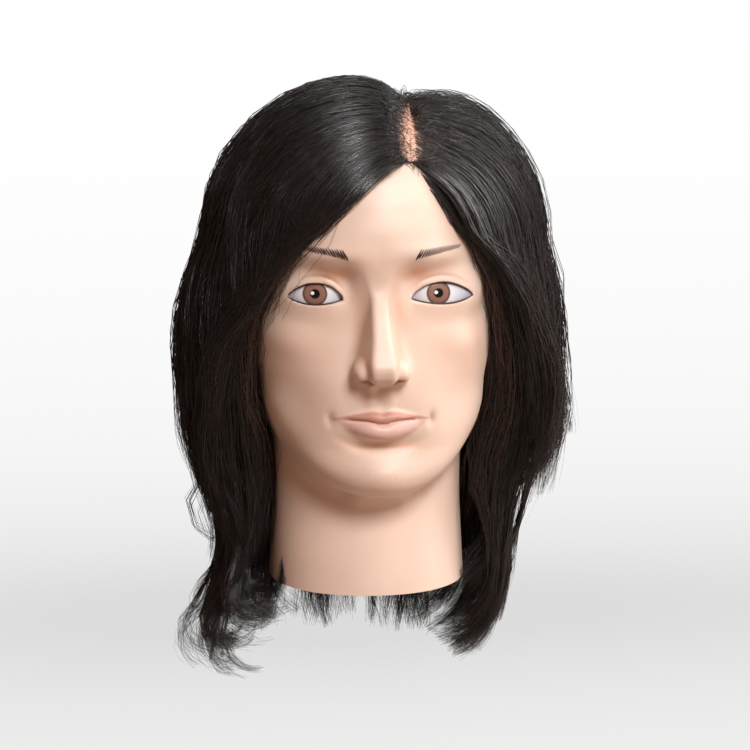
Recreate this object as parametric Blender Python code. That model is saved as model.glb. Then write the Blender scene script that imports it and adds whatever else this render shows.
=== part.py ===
"""Mannequin training head: a soft vinyl skin over a rigid foam core, hair rooted in the scalp in sections, and a
clamp socket in the neck. Metres, +Z up, face towards -Y, origin under the middle of the neck base."""

import math

import bpy
import numpy as np

# Head
CROWN_Z = 0.288
CHIN_Z = 0.059
NECK_HALF_WIDTH = 0.0595
SKULL_CENTRE = np.array((0.0, 0.008, 0.200))
EYE_X = 0.0345
EYE_Z = 0.178
MOUTH_Z = 0.106
FACE_LEAN = 0.030
SKIN_THICKNESS = 0.0035
SEAL_THICKNESS = 0.0012
GAP = 0.0005

# Neck base
PLATE_THICKNESS = 0.006
SOCKET_BORE_RADIUS = 0.0125
SOCKET_TOP_RADIUS = 0.0110
SOCKET_WALL = 0.0025
SOCKET_DEPTH = 0.090
FLANGE_RADIUS = 0.027
FLANGE_THICKNESS = 0.003
SCREW_CIRCLE = 0.0205
SCREW_SHANK_RADIUS = 0.0016
SCREW_HEAD_RADIUS = 0.0035
SCREW_LENGTH = 0.018
SCREWS = 4

# Hair
HAIR_TOP = 0.101
HAIR_LENGTH = 0.266
PARTING_X = 0.019
PARTING_HALF_WIDTH = 0.0035
CROWN_EDGE = 0.20
ROW_STEP = 0.1
UNDER_ROOTS = 0.9
UPPER_END = 1.6
SECTION_COLUMNS = 4
SCALP_CLEARANCE = 0.0025
SPREAD = 0.15

# Grid of the skin
SKIN_COLUMNS = 56
RAY_START = 0.032
RAY_STEP = 0.003
RAY_STEPS = 40
HALVINGS = 18


def clear_scene():
    for item in list(bpy.data.objects):
        bpy.data.objects.remove(item)


def material(name, colour, roughness, metallic=0.0):
    made = bpy.data.materials.new(name)
    made.use_nodes = True
    shader = made.node_tree.nodes["Principled BSDF"]
    shader.inputs["Base Color"].default_value = (*colour, 1.0)
    shader.inputs["Roughness"].default_value = roughness
    shader.inputs["Metallic"].default_value = metallic
    return made


def solid(name, points, faces, finish):
    mesh = bpy.data.meshes.new(name)
    mesh.from_pydata([tuple(p) for p in points], [], faces)
    mesh.shade_smooth()
    mesh.set_sharp_from_angle(angle=math.radians(40))
    mesh.materials.append(finish)
    item = bpy.data.objects.new(name, mesh)
    bpy.context.scene.collection.objects.link(item)
    return item


# ---- smooth shapes that the head form is merged from, as signed distances

def merge(a, b, soft):
    share = np.clip(0.5 + 0.5 * (b - a) / soft, 0.0, 1.0)
    return b * (1 - share) + a * share - soft * share * (1 - share)


def ellipsoid(p, centre, radii):
    q = (p - np.array(centre)) / np.array(radii)
    reach = np.sqrt((q * q).sum(-1))
    slope = np.sqrt(((q / np.array(radii)) ** 2).sum(-1)) + 1e-9
    return reach * (reach - 1) / slope


def limb(p, start, end, start_radius, end_radius):
    start = np.array(start)
    along = np.array(end) - start
    share = np.clip(((p - start) @ along) / (along @ along), 0, 1)
    away = p - start - share[..., None] * along
    return np.sqrt((away**2).sum(-1)) - (start_radius + share * (end_radius - start_radius))


def curve(*points):
    """A smooth line without overshoot through (height, value) points, as a table for np.interp."""
    at, value = np.array(points, float).T
    rise = np.diff(value) / np.diff(at)
    slope = np.zeros(len(at))
    turning = rise[:-1] * rise[1:] <= 0
    slope[1:-1] = np.where(turning, 0, 2 * rise[:-1] * rise[1:] / (rise[:-1] + rise[1:] + 1e-12))
    slope[0] = rise[0]
    slope[-1] = rise[-1]
    fine = np.linspace(at[0], at[-1], 300)
    i = np.clip(np.searchsorted(at, fine) - 1, 0, len(at) - 2)
    span = at[i + 1] - at[i]
    t = (fine - at[i]) / span
    start = (1 + 2 * t) * (1 - t) ** 2 * value[i] + t * (1 - t) ** 2 * span * slope[i]
    end = t * t * (3 - 2 * t) * value[i + 1] + t * t * (t - 1) * span * slope[i + 1]
    return fine, start + end


def loft(p, section):
    """Distance to a column of oval sections; each curve gives one measure of the oval at a height."""
    x, y, z = p[..., 0], p[..., 1], p[..., 2]
    bottom, top = section["width"][0][0], section["width"][0][-1]
    width, front, back, widest, power = (
        np.interp(z, *section[measure]) for measure in ("width", "front", "back", "widest", "power")
    )
    dy = y - widest
    depth = np.where(dy < 0, widest - front, back - widest)
    size = ((np.abs(x) / width) ** power + (np.abs(dy) / depth) ** power + 1e-12) ** (1 / power)
    radius = np.minimum(np.hypot(x, dy) / np.maximum(size, 1e-6), 0.12)
    side = (size - 1) * radius
    past_end = np.maximum(bottom - z, z - top)
    return np.where(past_end > 0, np.hypot(np.maximum(side, 0), past_end), side)


FACE = {
    "width": curve(
        (CHIN_Z, 0.012), (0.0625, 0.024), (0.068, 0.0340), (0.077, 0.0440), (0.088, 0.0535), (0.101, 0.0615),
        (0.112, 0.0650), (0.124, 0.0665), (0.138, 0.0695), (0.155, 0.0708), (0.172, 0.0700), (0.190, 0.0675),
        (0.205, 0.063), (0.225, 0.055),
    ),
    "front": curve(
        (CHIN_Z, -0.066), (0.0625, -0.076), (0.068, -0.0805), (0.077, -0.0825), (0.090, -0.0805),
        (0.104, -0.0815), (0.125, -0.0825), (0.150, -0.0800), (0.177, -0.0780), (0.195, -0.0840),
        (0.210, -0.0845), (0.225, -0.078),
    ),
    "widest": curve(
        (CHIN_Z, -0.052), (0.070, -0.048), (0.085, -0.036), (0.101, -0.026), (0.120, -0.020), (0.150, -0.016),
        (0.180, -0.010), (0.225, 0.0),
    ),
    "back": curve(
        (CHIN_Z, -0.040), (0.070, -0.022), (0.085, 0.002), (0.101, 0.026), (0.120, 0.045), (0.150, 0.062),
        (0.225, 0.070),
    ),
    "power": curve((CHIN_Z, 2.0), (0.080, 2.15), (0.110, 2.25), (0.140, 2.2), (0.180, 2.35), (0.225, 2.2)),
}
NECK = {
    "width": curve(
        (0.0, NECK_HALF_WIDTH), (0.02, 0.0585), (0.05, 0.0575), (0.08, 0.0585), (0.11, 0.060), (0.15, 0.060),
        (0.18, 0.055),
    ),
    "front": curve((0.0, -0.0625), (0.012, -0.060), (0.03, -0.0555), (0.055, -0.050), (0.09, -0.045), (0.18, -0.045)),
    "widest": curve((0.0, 0.004), (0.18, 0.010)),
    "back": curve((0.0, 0.071), (0.02, 0.0675), (0.05, 0.066), (0.09, 0.070), (0.13, 0.080), (0.18, 0.088)),
    "power": curve((0.0, 2.15), (0.18, 2.1)),
}


def swelling(p, centre, size, height):
    """A soft swelling of the face, or a hollow if height is negative, the same on both sides."""
    away = (np.abs(p[..., 0]) - centre[0]) / size[0], (p[..., 2] - centre[1]) / size[1]
    return height * np.exp(-away[0] ** 2 - away[1] ** 2)


def both_sides(p):
    return np.concatenate([np.abs(p[..., :1]), p[..., 1:]], axis=-1)


def leaned(p):
    """The points in the face's own frame: below the eyes its middle drifts a little to the right."""
    drift = FACE_LEAN * np.clip(EYE_Z - p[..., 2], 0, EYE_Z - CHIN_Z)
    drift = drift * np.clip((p[..., 2] - 0.035) / (CHIN_Z - 0.035), 0, 1)
    return np.stack([p[..., 0] - drift, p[..., 1], p[..., 2]], -1)


def bare_head(p):
    """Distance from points p to the head form without its ears, negative inside."""
    form = merge(
        ellipsoid(p, (0, -0.006, 0.208), (0.0700, 0.0825, CROWN_Z - 0.210)),
        ellipsoid(p, (0, 0.026, 0.205), (0.0745, 0.0800, CROWN_Z - 0.2065)),
        0.020,
    )
    neck = loft(p, NECK)
    p = leaned(p)
    mirrored = both_sides(p)
    form = merge(form, loft(p, FACE), 0.012)
    form = merge(form, neck, 0.010)
    on_face = 1 / (1 + np.exp(np.clip((p[..., 1] + 0.045) / 0.006, -40, 40)))
    form = form - on_face * (
        swelling(p, (0.050, 0.150), (0.016, 0.011), 0.0035)
        + swelling(p, (0.026, 0.1985), (0.019, 0.0065), 0.0030)
        + swelling(p, (EYE_X, EYE_Z), (0.017, 0.0125), -0.0040)
        + swelling(p, (0.0165, 0.180), (0.007, 0.012), -0.0060)
        + swelling(p, (0.046, 0.115), (0.014, 0.016), -0.0022)
        + swelling(p, (0.0, 0.0855), (0.020, 0.0050), -0.0028)
        + swelling(p, (0.0, 0.0715), (0.015, 0.0080), 0.0030)
    )
    nose = limb(p, (0, -0.0700, 0.186), (0, -0.0855, 0.1400), 0.0085, 0.0130)
    nose = merge(nose, limb(p, (0, -0.0795, 0.183), (0, -0.0990, 0.1400), 0.0050, 0.0078), 0.006)
    nose = merge(nose, ellipsoid(mirrored, (0.0100, -0.0870, 0.1350), (0.0068, 0.0100, 0.0068)), 0.005)
    form = merge(form, nose, 0.006)
    form = merge(form, ellipsoid(p, (0, -0.0780, MOUTH_Z + 0.0045), (0.0260, 0.0135, 0.0055)), 0.004)
    form = merge(form, ellipsoid(p, (0, -0.0780, MOUTH_Z - 0.0055), (0.0240, 0.0145, 0.0060)), 0.003)
    return merge(form, ellipsoid(mirrored, (EYE_X, -0.0550, EYE_Z), (0.0178, 0.0178, 0.0178)), 0.005)


def head(p):
    """Distance from points p to the outside of the vinyl; the ears are solid, so only the outside has them."""
    ear = ellipsoid(both_sides(p), (0.0730, 0.0160, 0.1580), (0.0090, 0.0170, 0.0310))
    return merge(bare_head(p), ear, 0.006)


def evened(form, p):
    """The form's distance with its slope evened out, so that an offset measured on it is a true thickness."""
    step = 0.0004
    here = form(p)
    slope = [(form(p + step * side) - here) / step for side in np.eye(3)]
    return here / np.maximum(np.sqrt(sum(s * s for s in slope)), 0.35)


def first_crossing(origins, directions, level):
    """How far along each ray the outside of the head is, or for a level under 0 a surface that deep inside it."""
    form = head if level == 0 else bare_head
    low = np.full(len(origins), RAY_START)
    high = np.full(len(origins), RAY_START + RAY_STEP * RAY_STEPS)
    found = np.zeros(len(origins), bool)
    for step in range(1, RAY_STEPS):
        far = RAY_START + RAY_STEP * step
        outside = evened(form, origins + far * directions) > level
        high = np.where(outside & ~found, far, high)
        found |= outside
        low = np.where(found, low, far)
    for _ in range(HALVINGS):
        middle = (low + high) / 2
        outside = evened(form, origins + middle[:, None] * directions) > level
        high = np.where(outside, middle, high)
        low = np.where(outside, low, middle)
    return (low + high) / 2


# ---- rays: rows run from the crown down the head, then down the neck

JAW_START = 0.105
JAW_SLOPE = curve((0.0, 0.0), (0.16, 0.62), (0.36, 0.72), (0.60, 0.45), (1.0, 0.0))


def skin_ray(azimuth, row):
    """Row 0 to 1 fans out from the crown to eye height, 1 to 2 comes down the face, 2 to 3 rounds the jaw and neck."""
    cap = np.clip(row, 0, 1)
    face = np.clip(row - 1, 0, 1)
    jaw = np.clip(row - 2, 0, 1)
    height = SKULL_CENTRE[2] - face * (SKULL_CENTRE[2] - JAW_START) - jaw * JAW_START
    dip = np.interp(jaw, *JAW_SLOPE) * np.clip(np.cos(azimuth), 0, 1) ** 0.8
    pitch = np.where(row < 1, math.pi / 2 * (1 - cap), -np.arctan(dip))
    return ray(azimuth, height, pitch)


def ray(azimuth, height, pitch):
    """A ray from the head's upright axis; azimuth 0 looks out through the face, positive to +X."""
    flat = np.cos(pitch)
    origins = np.stack(
        [np.full_like(height, SKULL_CENTRE[0]), np.full_like(height, SKULL_CENTRE[1]), height], -1
    )
    directions = np.stack([flat * np.sin(azimuth), -flat * np.cos(azimuth), np.sin(pitch)], -1)
    return origins, directions


def azimuths(count):
    """Directions round the head, closer together at the face."""
    turn = np.linspace(-1, 1, count, endpoint=False)
    return math.pi * (0.40 * turn + 0.60 * turn**3)


def shell_rows(angles, rows, level):
    """Points where the rays of each row meet the given depth under the skin, row by row."""
    azimuth, row = np.meshgrid(angles, rows)
    origins, directions = skin_ray(azimuth.ravel(), row.ravel())
    far = first_crossing(origins, directions, level)
    points = origins + far[:, None] * directions
    points[:, 2] = np.maximum(points[:, 2], 0)
    return points.reshape(len(rows), len(angles), 3)


def ring_faces(upper, lower, count):
    """Pairs of triangles between two rings of count points that start at the given numbers, facing out."""
    faces = []
    for i in range(count):
        after = (i + 1) % count
        faces.append((upper + i, lower + i, lower + after))
        faces.append((upper + i, lower + after, upper + after))
    return faces


def fan_faces(tip, ring, count):
    return [(tip, ring + i, ring + (i + 1) % count) for i in range(count)]


def turned_over(faces):
    return [tuple(reversed(face)) for face in faces]


# ---- the pieces of the head

OUTER_ROWS = np.concatenate(
    [
        np.linspace(0.14, 0.98, 7),
        np.linspace(1.05, 2.0, 20),
        np.array((2.05, 2.10, 2.15, 2.20, 2.26, 2.33, 2.42, 2.55, 2.70, 2.86, 3.0)),
    ]
)
INNER_ROWS = np.concatenate([np.linspace(0.16, 1.0, 11), np.linspace(1.1, 2.0, 9), np.array((2.15, 2.35, 2.65, 3.0))])
CORE_ROWS = INNER_ROWS[:-1]


def skin_crown(level):
    """The point over the axis where the head form is at the level."""
    origins, directions = ray(np.zeros(1), np.full(1, SKULL_CENTRE[2]), np.full(1, math.pi / 2))
    return origins[0] + first_crossing(origins, directions, level)[0] * directions[0]


def make_skin(finish):
    outer_angles = azimuths(SKIN_COLUMNS)
    inner_count = SKIN_COLUMNS // 2
    outer = shell_rows(outer_angles, OUTER_ROWS, 0.0)
    inner = shell_rows(outer_angles[::2], INNER_ROWS, -SKIN_THICKNESS)
    outer[-1, :, 2] = 0
    inner[-1, :, 2] = 0
    points = [skin_crown(0.0)] + list(outer.reshape(-1, 3))
    faces = fan_faces(0, 1, SKIN_COLUMNS)
    for row in range(len(OUTER_ROWS) - 1):
        start = 1 + row * SKIN_COLUMNS
        faces += ring_faces(start, start + SKIN_COLUMNS, SKIN_COLUMNS)
    inner_tip = len(points)
    points += [skin_crown(-SKIN_THICKNESS)] + list(inner.reshape(-1, 3))
    faces += turned_over(fan_faces(inner_tip, inner_tip + 1, inner_count))
    for row in range(len(INNER_ROWS) - 1):
        start = inner_tip + 1 + row * inner_count
        faces += turned_over(ring_faces(start, start + inner_count, inner_count))
    outer_rim = 1 + (len(OUTER_ROWS) - 1) * SKIN_COLUMNS
    inner_rim = inner_tip + 1 + (len(INNER_ROWS) - 1) * inner_count
    for i in range(inner_count):
        after = (i + 1) % inner_count
        left, middle, right = outer_rim + 2 * i, outer_rim + 2 * i + 1, outer_rim + (2 * i + 2) % SKIN_COLUMNS
        faces.append((left, inner_rim + i, middle))
        faces.append((middle, inner_rim + i, inner_rim + after))
        faces.append((middle, inner_rim + after, right))
    return solid("vinyl_skin", points, faces, finish)


def hairline_row(azimuth):
    """The row at which the hair roots end: high over the forehead, low at the nape."""
    turn = np.abs(azimuth)
    return np.interp(turn, (0.0, 0.9, 1.5, 2.2, math.pi), (0.60, 0.92, 1.15, 1.55, 1.75))


SEAL_ROWS = 13
SEAL_MARGIN = 0.22


def make_root_seal(finish):
    """A coat of adhesive inside the scalp, as far down as the hair is rooted."""
    angles = azimuths(SKIN_COLUMNS)[::2]
    count = len(angles)
    share = np.linspace(0.14, 1.0, SEAL_ROWS)
    azimuth, down = np.meshgrid(angles, share)
    origins, directions = skin_ray(azimuth.ravel(), (down * hairline_row(azimuth)).ravel())
    outside = -(SKIN_THICKNESS + 2 * GAP)
    points = []
    faces = []
    for level, turn in ((outside, False), (outside - SEAL_THICKNESS, True)):
        start = len(points)
        far = first_crossing(origins, directions, level)
        points += [skin_crown(level)] + list(origins + far[:, None] * directions)
        sheet = fan_faces(start, start + 1, count)
        for row in range(SEAL_ROWS - 1):
            sheet += ring_faces(start + 1 + row * count, start + 1 + (row + 1) * count, count)
        faces += turned_over(sheet) if turn else sheet
    rim = 1 + (SEAL_ROWS - 1) * count
    faces += ring_faces(rim, rim + len(points) // 2, count)
    return solid("root_seal_layer", points, faces, finish)


def make_core(finish):
    """The foam filling, stepped in under the root seal, flat where it meets the base plate."""
    angles = azimuths(SKIN_COLUMNS)[::2]
    count = len(angles)
    azimuth, row = np.meshgrid(angles, CORE_ROWS)
    origins, directions = skin_ray(azimuth.ravel(), row.ravel())
    under_skin = SKIN_THICKNESS + GAP
    under_seal = under_skin + SEAL_THICKNESS + 4 * GAP
    past_seal = (row.ravel() - hairline_row(azimuth.ravel())) / SEAL_MARGIN
    depth = under_seal + (under_skin - under_seal) * np.clip(past_seal - 1, 0, 1)
    far = np.zeros(len(origins))
    for level in np.unique(np.round(depth, 4)):
        chosen = np.round(depth, 4) == level
        far[chosen] = first_crossing(origins[chosen], directions[chosen], -level)
    rings = (origins + far[:, None] * directions).reshape(len(CORE_ROWS), count, 3)
    foot = rings[-1].copy()
    foot[:, 2] = PLATE_THICKNESS + GAP
    points = [skin_crown(-under_seal)] + list(rings.reshape(-1, 3)) + list(foot)
    faces = fan_faces(0, 1, count)
    for step in range(len(CORE_ROWS)):
        faces += ring_faces(1 + step * count, 1 + (step + 1) * count, count)
    faces.append(tuple(1 + len(CORE_ROWS) * count + i for i in reversed(range(count))))
    return solid("foam_core", points, faces, finish)


# ---- the neck base

def lathe(name, profile, sides, finish=None):
    """A closed turned solid round the Z axis; the profile runs (radius, height) from the axis back to the axis."""
    turn = 2 * math.pi / sides
    points = []
    rings = []
    for radius, height in profile:
        if radius == 0:
            rings.append((len(points), 1))
            points.append((0, 0, height))
            continue
        rings.append((len(points), sides))
        points += [(radius * math.cos(i * turn), radius * math.sin(i * turn), height) for i in range(sides)]
    faces = []
    for (first, size), (second, next_size) in zip(rings, rings[1:], strict=False):
        if size == 1:
            faces += turned_over(fan_faces(first, second, sides))
        elif next_size == 1:
            faces += fan_faces(second, first, sides)
        else:
            faces += [
                (first + i, first + (i + 1) % sides, second + (i + 1) % sides, second + i) for i in range(sides)
            ]
    mesh = bpy.data.meshes.new(name)
    mesh.from_pydata(points, [], faces)
    mesh.shade_smooth()
    mesh.set_sharp_from_angle(angle=math.radians(40))
    if finish:
        mesh.materials.append(finish)
    item = bpy.data.objects.new(name, mesh)
    bpy.context.scene.collection.objects.link(item)
    return item


def cut(item, cutter):
    hole = item.modifiers.new(cutter.name, "BOOLEAN")
    hole.operation = "DIFFERENCE"
    hole.object = cutter
    cutter.hide_render = True
    cutter.hide_set(True)
    cutter.display_type = "WIRE"


FLANGE_Z = PLATE_THICKNESS + GAP
SOCKET_TOP_Z = PLATE_THICKNESS + SOCKET_DEPTH


def socket_profile(grow):
    """The outside of the socket and its flange, grown by a clearance."""
    return [
        (0, FLANGE_Z - 0.01 if grow else FLANGE_Z),
        (FLANGE_RADIUS + grow, FLANGE_Z - 0.01 if grow else FLANGE_Z),
        (FLANGE_RADIUS + grow, FLANGE_Z + FLANGE_THICKNESS + grow),
        (SOCKET_BORE_RADIUS + SOCKET_WALL + grow, FLANGE_Z + FLANGE_THICKNESS + grow),
        (SOCKET_TOP_RADIUS + SOCKET_WALL + grow, SOCKET_TOP_Z - 0.002 + grow),
        (SOCKET_TOP_RADIUS + SOCKET_WALL - 0.002 + grow, SOCKET_TOP_Z + grow),
        (0, SOCKET_TOP_Z + grow),
    ]


def make_socket(finish):
    """A tapered blind tube with a flange, which keeps the clamp's peg central."""
    outside = socket_profile(0)[1:]
    inside = [
        (0, SOCKET_TOP_Z - SOCKET_WALL),
        (SOCKET_TOP_RADIUS, SOCKET_TOP_Z - SOCKET_WALL),
        (SOCKET_BORE_RADIUS, FLANGE_Z + 0.001),
        (SOCKET_BORE_RADIUS + 0.001, FLANGE_Z),
    ]
    return lathe("clamp_socket", inside + outside, 32, finish)


def make_base_plate(finish):
    """The hard disc inside the bottom of the neck, flush with the skin's rim."""
    angles = azimuths(SKIN_COLUMNS)[::2]
    count = len(angles)
    rows = np.array((2.93, 3.0))
    rim = shell_rows(angles, rows, -(SKIN_THICKNESS + GAP))
    outline = np.array(SKULL_CENTRE[:2]) + (rim[1, :, :2] - SKULL_CENTRE[:2]) * 0.985
    top = [(x, y, PLATE_THICKNESS) for x, y in outline]
    bottom = [(x, y, 0.0) for x, y in outline]
    faces = ring_faces(0, count, count) + [tuple(range(count)), tuple(reversed(range(count, 2 * count)))]
    plate = solid("neck_base_plate", top + bottom, faces, finish)
    reach = SOCKET_BORE_RADIUS + 0.001
    mouth = lathe("cut_plate_mouth", [(0, -0.01), (reach, -0.01), (reach, 0.02), (0, 0.02)], 32)
    cut(plate, mouth)
    return plate


def screw_places():
    for number in range(SCREWS):
        turn = math.pi / 4 + number * 2 * math.pi / SCREWS
        yield number + 1, (SCREW_CIRCLE * math.cos(turn), SCREW_CIRCLE * math.sin(turn), 0)


def screw_profile(grow):
    head_depth = SCREW_HEAD_RADIUS - SCREW_SHANK_RADIUS
    start = -0.01 if grow else 0.0004
    wide = SCREW_HEAD_RADIUS + grow
    return [
        (0, start),
        (wide, start),
        (wide, 0.0010 + grow),
        (SCREW_SHANK_RADIUS + grow, 0.0010 + head_depth + grow),
        (SCREW_SHANK_RADIUS + grow, SCREW_LENGTH - 0.003 + grow),
        (0, SCREW_LENGTH + grow),
    ]


def make_screws(finish, drilled):
    """Countersunk screws up through the plate and the socket's flange into the foam."""
    for number, place in screw_places():
        screw = lathe(f"base_screw_{number}", screw_profile(0), 12, finish)
        screw.location = place
        drill = lathe(f"cut_screw_{number}", screw_profile(0.0004), 12)
        drill.location = place
        for item in drilled:
            cut(item, drill)


# ---- hair

HAIR_LEFT = curve(
    (-0.068, 0.098), (-0.045, 0.106), (-0.015, 0.100), (0.020, 0.093), (0.055, 0.103), (0.095, 0.111),
    (0.140, 0.117), (0.172, 0.114), (0.200, 0.104),
)
HAIR_RIGHT = curve(
    (-0.068, 0.072), (-0.040, 0.082), (0.0, 0.093), (0.030, 0.102), (0.060, 0.118), (0.092, 0.129),
    (0.138, 0.122), (0.175, 0.118), (0.200, 0.113),
)
HAIR_FRONT = curve((-0.068, 0.070), (0.0, 0.066), (0.060, 0.076), (0.140, 0.092), (0.200, 0.098))
HAIR_BACK = curve((-0.068, 0.094), (0.0, 0.100), (0.080, 0.110), (0.150, 0.116), (0.200, 0.115))
FACE_EDGE = ((0.0, 50), (1.19, 50), (1.40, 56), (1.75, 62), (2.01, 58))
FRINGE_EDGE_LEFT = curve((-50, 1.18), (-28, 0.98), (-14, 0.86), (10, 0.68))
FRINGE_EDGE_RIGHT = curve((12, 0.66), (20, 0.80), (28, 0.92), (39, 1.02), (51, 1.15))
LAST_ROW_UNDER = ((-180, 1.93), (-120, 1.96), (-75, 2.005), (-50, 1.99), (50, 1.99), (75, 2.0), (120, 1.95), (180, 1.93))


def hair_ray(azimuth, row):
    """Row 0 to 1 fans out over the scalp, and past 1 the hair hangs."""
    height = SKULL_CENTRE[2] - np.clip(row - 1, 0, None) * HAIR_LENGTH
    pitch = math.pi / 2 * (1 - np.clip(row, 0, 1))
    return ray(azimuth, height, pitch)


def hair_outside(azimuth, row, directions):
    height = SKULL_CENTRE[2] - np.clip(row - 1, 0, None) * HAIR_LENGTH
    side = np.where(np.sin(azimuth) < 0, np.interp(height, *HAIR_LEFT), np.interp(height, *HAIR_RIGHT))
    facing = np.where(np.cos(azimuth) > 0, np.interp(height, *HAIR_FRONT), np.interp(height, *HAIR_BACK))
    part = (directions[:, 0] / side) ** 2 + (directions[:, 1] / facing) ** 2 + (directions[:, 2] / HAIR_TOP) ** 2
    return 1 / np.sqrt(part)


def hair_layers(azimuth, row):
    """For each ray, how far out the hair starts, where its under layer ends, and where it ends."""
    origins, directions = hair_ray(azimuth, row)
    nearby = [(0, 0), (SPREAD, 0), (-SPREAD, 0), (0, SPREAD), (0, -SPREAD)]
    reaches = [first_crossing(*hair_ray(azimuth + turn, row + down), 0.0) for turn, down in nearby]
    scalp = np.max(reaches, axis=0) + SCALP_CLEARANCE
    outside = np.maximum(hair_outside(azimuth, row, directions), scalp + 0.006)
    hanging = np.clip((row - 1.15) / 0.25, 0, 1)
    inside = np.maximum(scalp, outside * 0.70 * hanging)
    share = 0.45 + 0.55 * np.clip((row - UPPER_END - 1.2 * ROW_STEP) / 0.15, 0, 1)
    return origins, directions, inside, inside + share * (outside - inside), outside


def split_quad(a, b, c, d):
    """Two triangles for a quad, always along a to c, so that facing sheets split alike."""
    return [(a, b, c), (a, c, d)]


def even_rows(first, last, columns, steps):
    """Rows from the first row to each column's own last row."""
    share = np.linspace(0, 1, columns + 1)
    down = np.linspace(0, 1, steps + 1)[:, None]
    return first + (last(share)[None, :] - first) * down


def stepped_rows(first, last, columns):
    """Rows on the steps that all layers share, so that sheets which lie on each other are cut alike."""
    count = round((last - first) / ROW_STEP)
    inner = last - ROW_STEP * np.arange(count - 1, -1, -1)
    return np.repeat(np.append(first, inner)[:, None], columns + 1, axis=1)


def hair_section(name, sides, row, layer, finish):
    """A lock of hair as a thick curved sheet. sides gives its two edges in degrees as functions of the row, row is
    the grid of its rows down each column, and the layer is whole, upper or under."""
    steps, columns = row.shape[0] - 1, row.shape[1] - 1
    share = np.linspace(0, 1, columns + 1)[None, :]
    edge_gap = np.degrees(GAP * 1.2 / (0.09 * np.sin(np.minimum(row, 1) * math.pi / 2)))
    start = sides[0](row) + edge_gap
    end = sides[1](row) - edge_gap
    azimuth = np.radians(start + (end - start) * share)
    origins, directions, inside, between, outside = hair_layers(azimuth.ravel(), row.ravel())
    if layer == "under":
        outside = between - GAP
    if layer == "upper":
        rooted = np.clip((row.ravel() - (UNDER_ROOTS - 4 * ROW_STEP)) / (2 * ROW_STEP), 0, 1)
        inside = inside + rooted * (between + GAP - inside)
    points = list(origins + outside[:, None] * directions) + list(origins + inside[:, None] * directions)
    behind = (columns + 1) * (steps + 1)
    faces = []
    for i in range(steps):
        for j in range(columns):
            a = i * (columns + 1) + j
            b = a + columns + 1
            outer = split_quad(a, b, b + 1, a + 1)
            faces += outer
            faces += [tuple(behind + k for k in reversed(face)) for face in outer]
    for i in range(steps):
        a = i * (columns + 1)
        b = a + columns + 1
        faces += split_quad(a, behind + a, behind + b, b)
        faces += split_quad(a + columns, b + columns, behind + b + columns, behind + a + columns)
    for j in range(columns):
        k = steps * (columns + 1) + j
        faces += split_quad(j, j + 1, behind + j + 1, behind + j)
        faces += split_quad(k, behind + k, behind + k + 1, k + 1)
    return solid(name, points, faces, finish)


def make_crown(finish):
    """The hair round the crown, a shallow cap."""
    angles = np.radians(np.arange(0, 360, 20))
    count = len(angles)
    share = (0.5, 1.0)
    points = []
    faces = []
    for turn in (False, True):
        start = len(points)
        sheet = fan_faces(start, start + 1, count)
        sheet += ring_faces(start + 1, start + 1 + count, count)
        rows = np.repeat(np.array(share) * (CROWN_EDGE - 0.006), count)
        azimuth = np.tile(angles, 2)
        origins, directions, inside, _, outside = hair_layers(azimuth, rows)
        far = inside if turn else outside
        up = hair_layers(np.zeros(1), np.full(1, 1e-4))
        points.append(SKULL_CENTRE + np.array((0, 0, (up[2] if turn else up[4])[0])))
        points += list(origins + far[:, None] * directions)
        faces += turned_over(sheet) if turn else sheet
    rim = 1 + count
    faces += ring_faces(rim, rim + len(points) // 2, count)
    return solid("hair_crown", points, faces, finish)


def parting(offset):
    """The parting's direction at each row: it runs straight back at PARTING_X, so it turns out near the crown."""

    def edge(row):
        flat = 0.092 * np.sin(np.minimum(row, 1) * math.pi / 2)
        return np.degrees(np.arcsin(np.clip((PARTING_X + offset) / flat, -1, 1)))

    return edge


def straight(degrees):
    return lambda row: np.full_like(row, degrees)


def beside_face(side):
    def edge(row):
        at, degrees = np.array(FACE_EDGE).T
        return side * np.interp(row, at, degrees)

    return edge


def make_fringe(finish):
    """The hair swept from the parting over the forehead to both temples."""
    top = CROWN_EDGE + 0.006
    left = even_rows(top, lambda share: np.interp(-50 + 60 * share, *FRINGE_EDGE_LEFT), 7, 7)
    right = even_rows(top, lambda share: np.interp(12 + 38 * share, *FRINGE_EDGE_RIGHT), 5, 7)
    left_sides = (straight(-50), parting(-PARTING_HALF_WIDTH))
    right_sides = (parting(PARTING_HALF_WIDTH), straight(50))
    hair_section("hair_fringe_left", left_sides, left, "whole", finish)
    hair_section("hair_fringe_right", right_sides, right, "whole", finish)


def make_lengths(finish):
    """The long hair of both sides and the back: an upper layer, and an under layer that hangs lower."""
    top = CROWN_EDGE + 0.006
    for side, hand in ((-1, "left"), (1, "right")):
        bounds = [beside_face(side), straight(100 * side), straight(140 * side), straight(180 * side)]
        for number, place in enumerate(("side", "back_side", "back_middle")):
            edges = bounds[number : number + 2][::side]
            upper = stepped_rows(top, UPPER_END, SECTION_COLUMNS)
            hair_section(f"hair_upper_{place}_{hand}", edges, upper, "upper", finish)
            ends = [float(edge(np.array(1.99))) for edge in edges]
            turn = np.linspace(ends[0], ends[1], SECTION_COLUMNS + 1)
            tips = np.interp(turn, *np.array(LAST_ROW_UNDER).T)
            shared = stepped_rows(UNDER_ROOTS, UPPER_END + ROW_STEP, SECTION_COLUMNS)
            hanging = shared[-1] + (tips - shared[-1]) * np.linspace(0, 1, 4)[1:, None]
            hair_section(f"hair_under_{place}_{hand}", edges, np.vstack([shared, hanging]), "under", finish)


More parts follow.
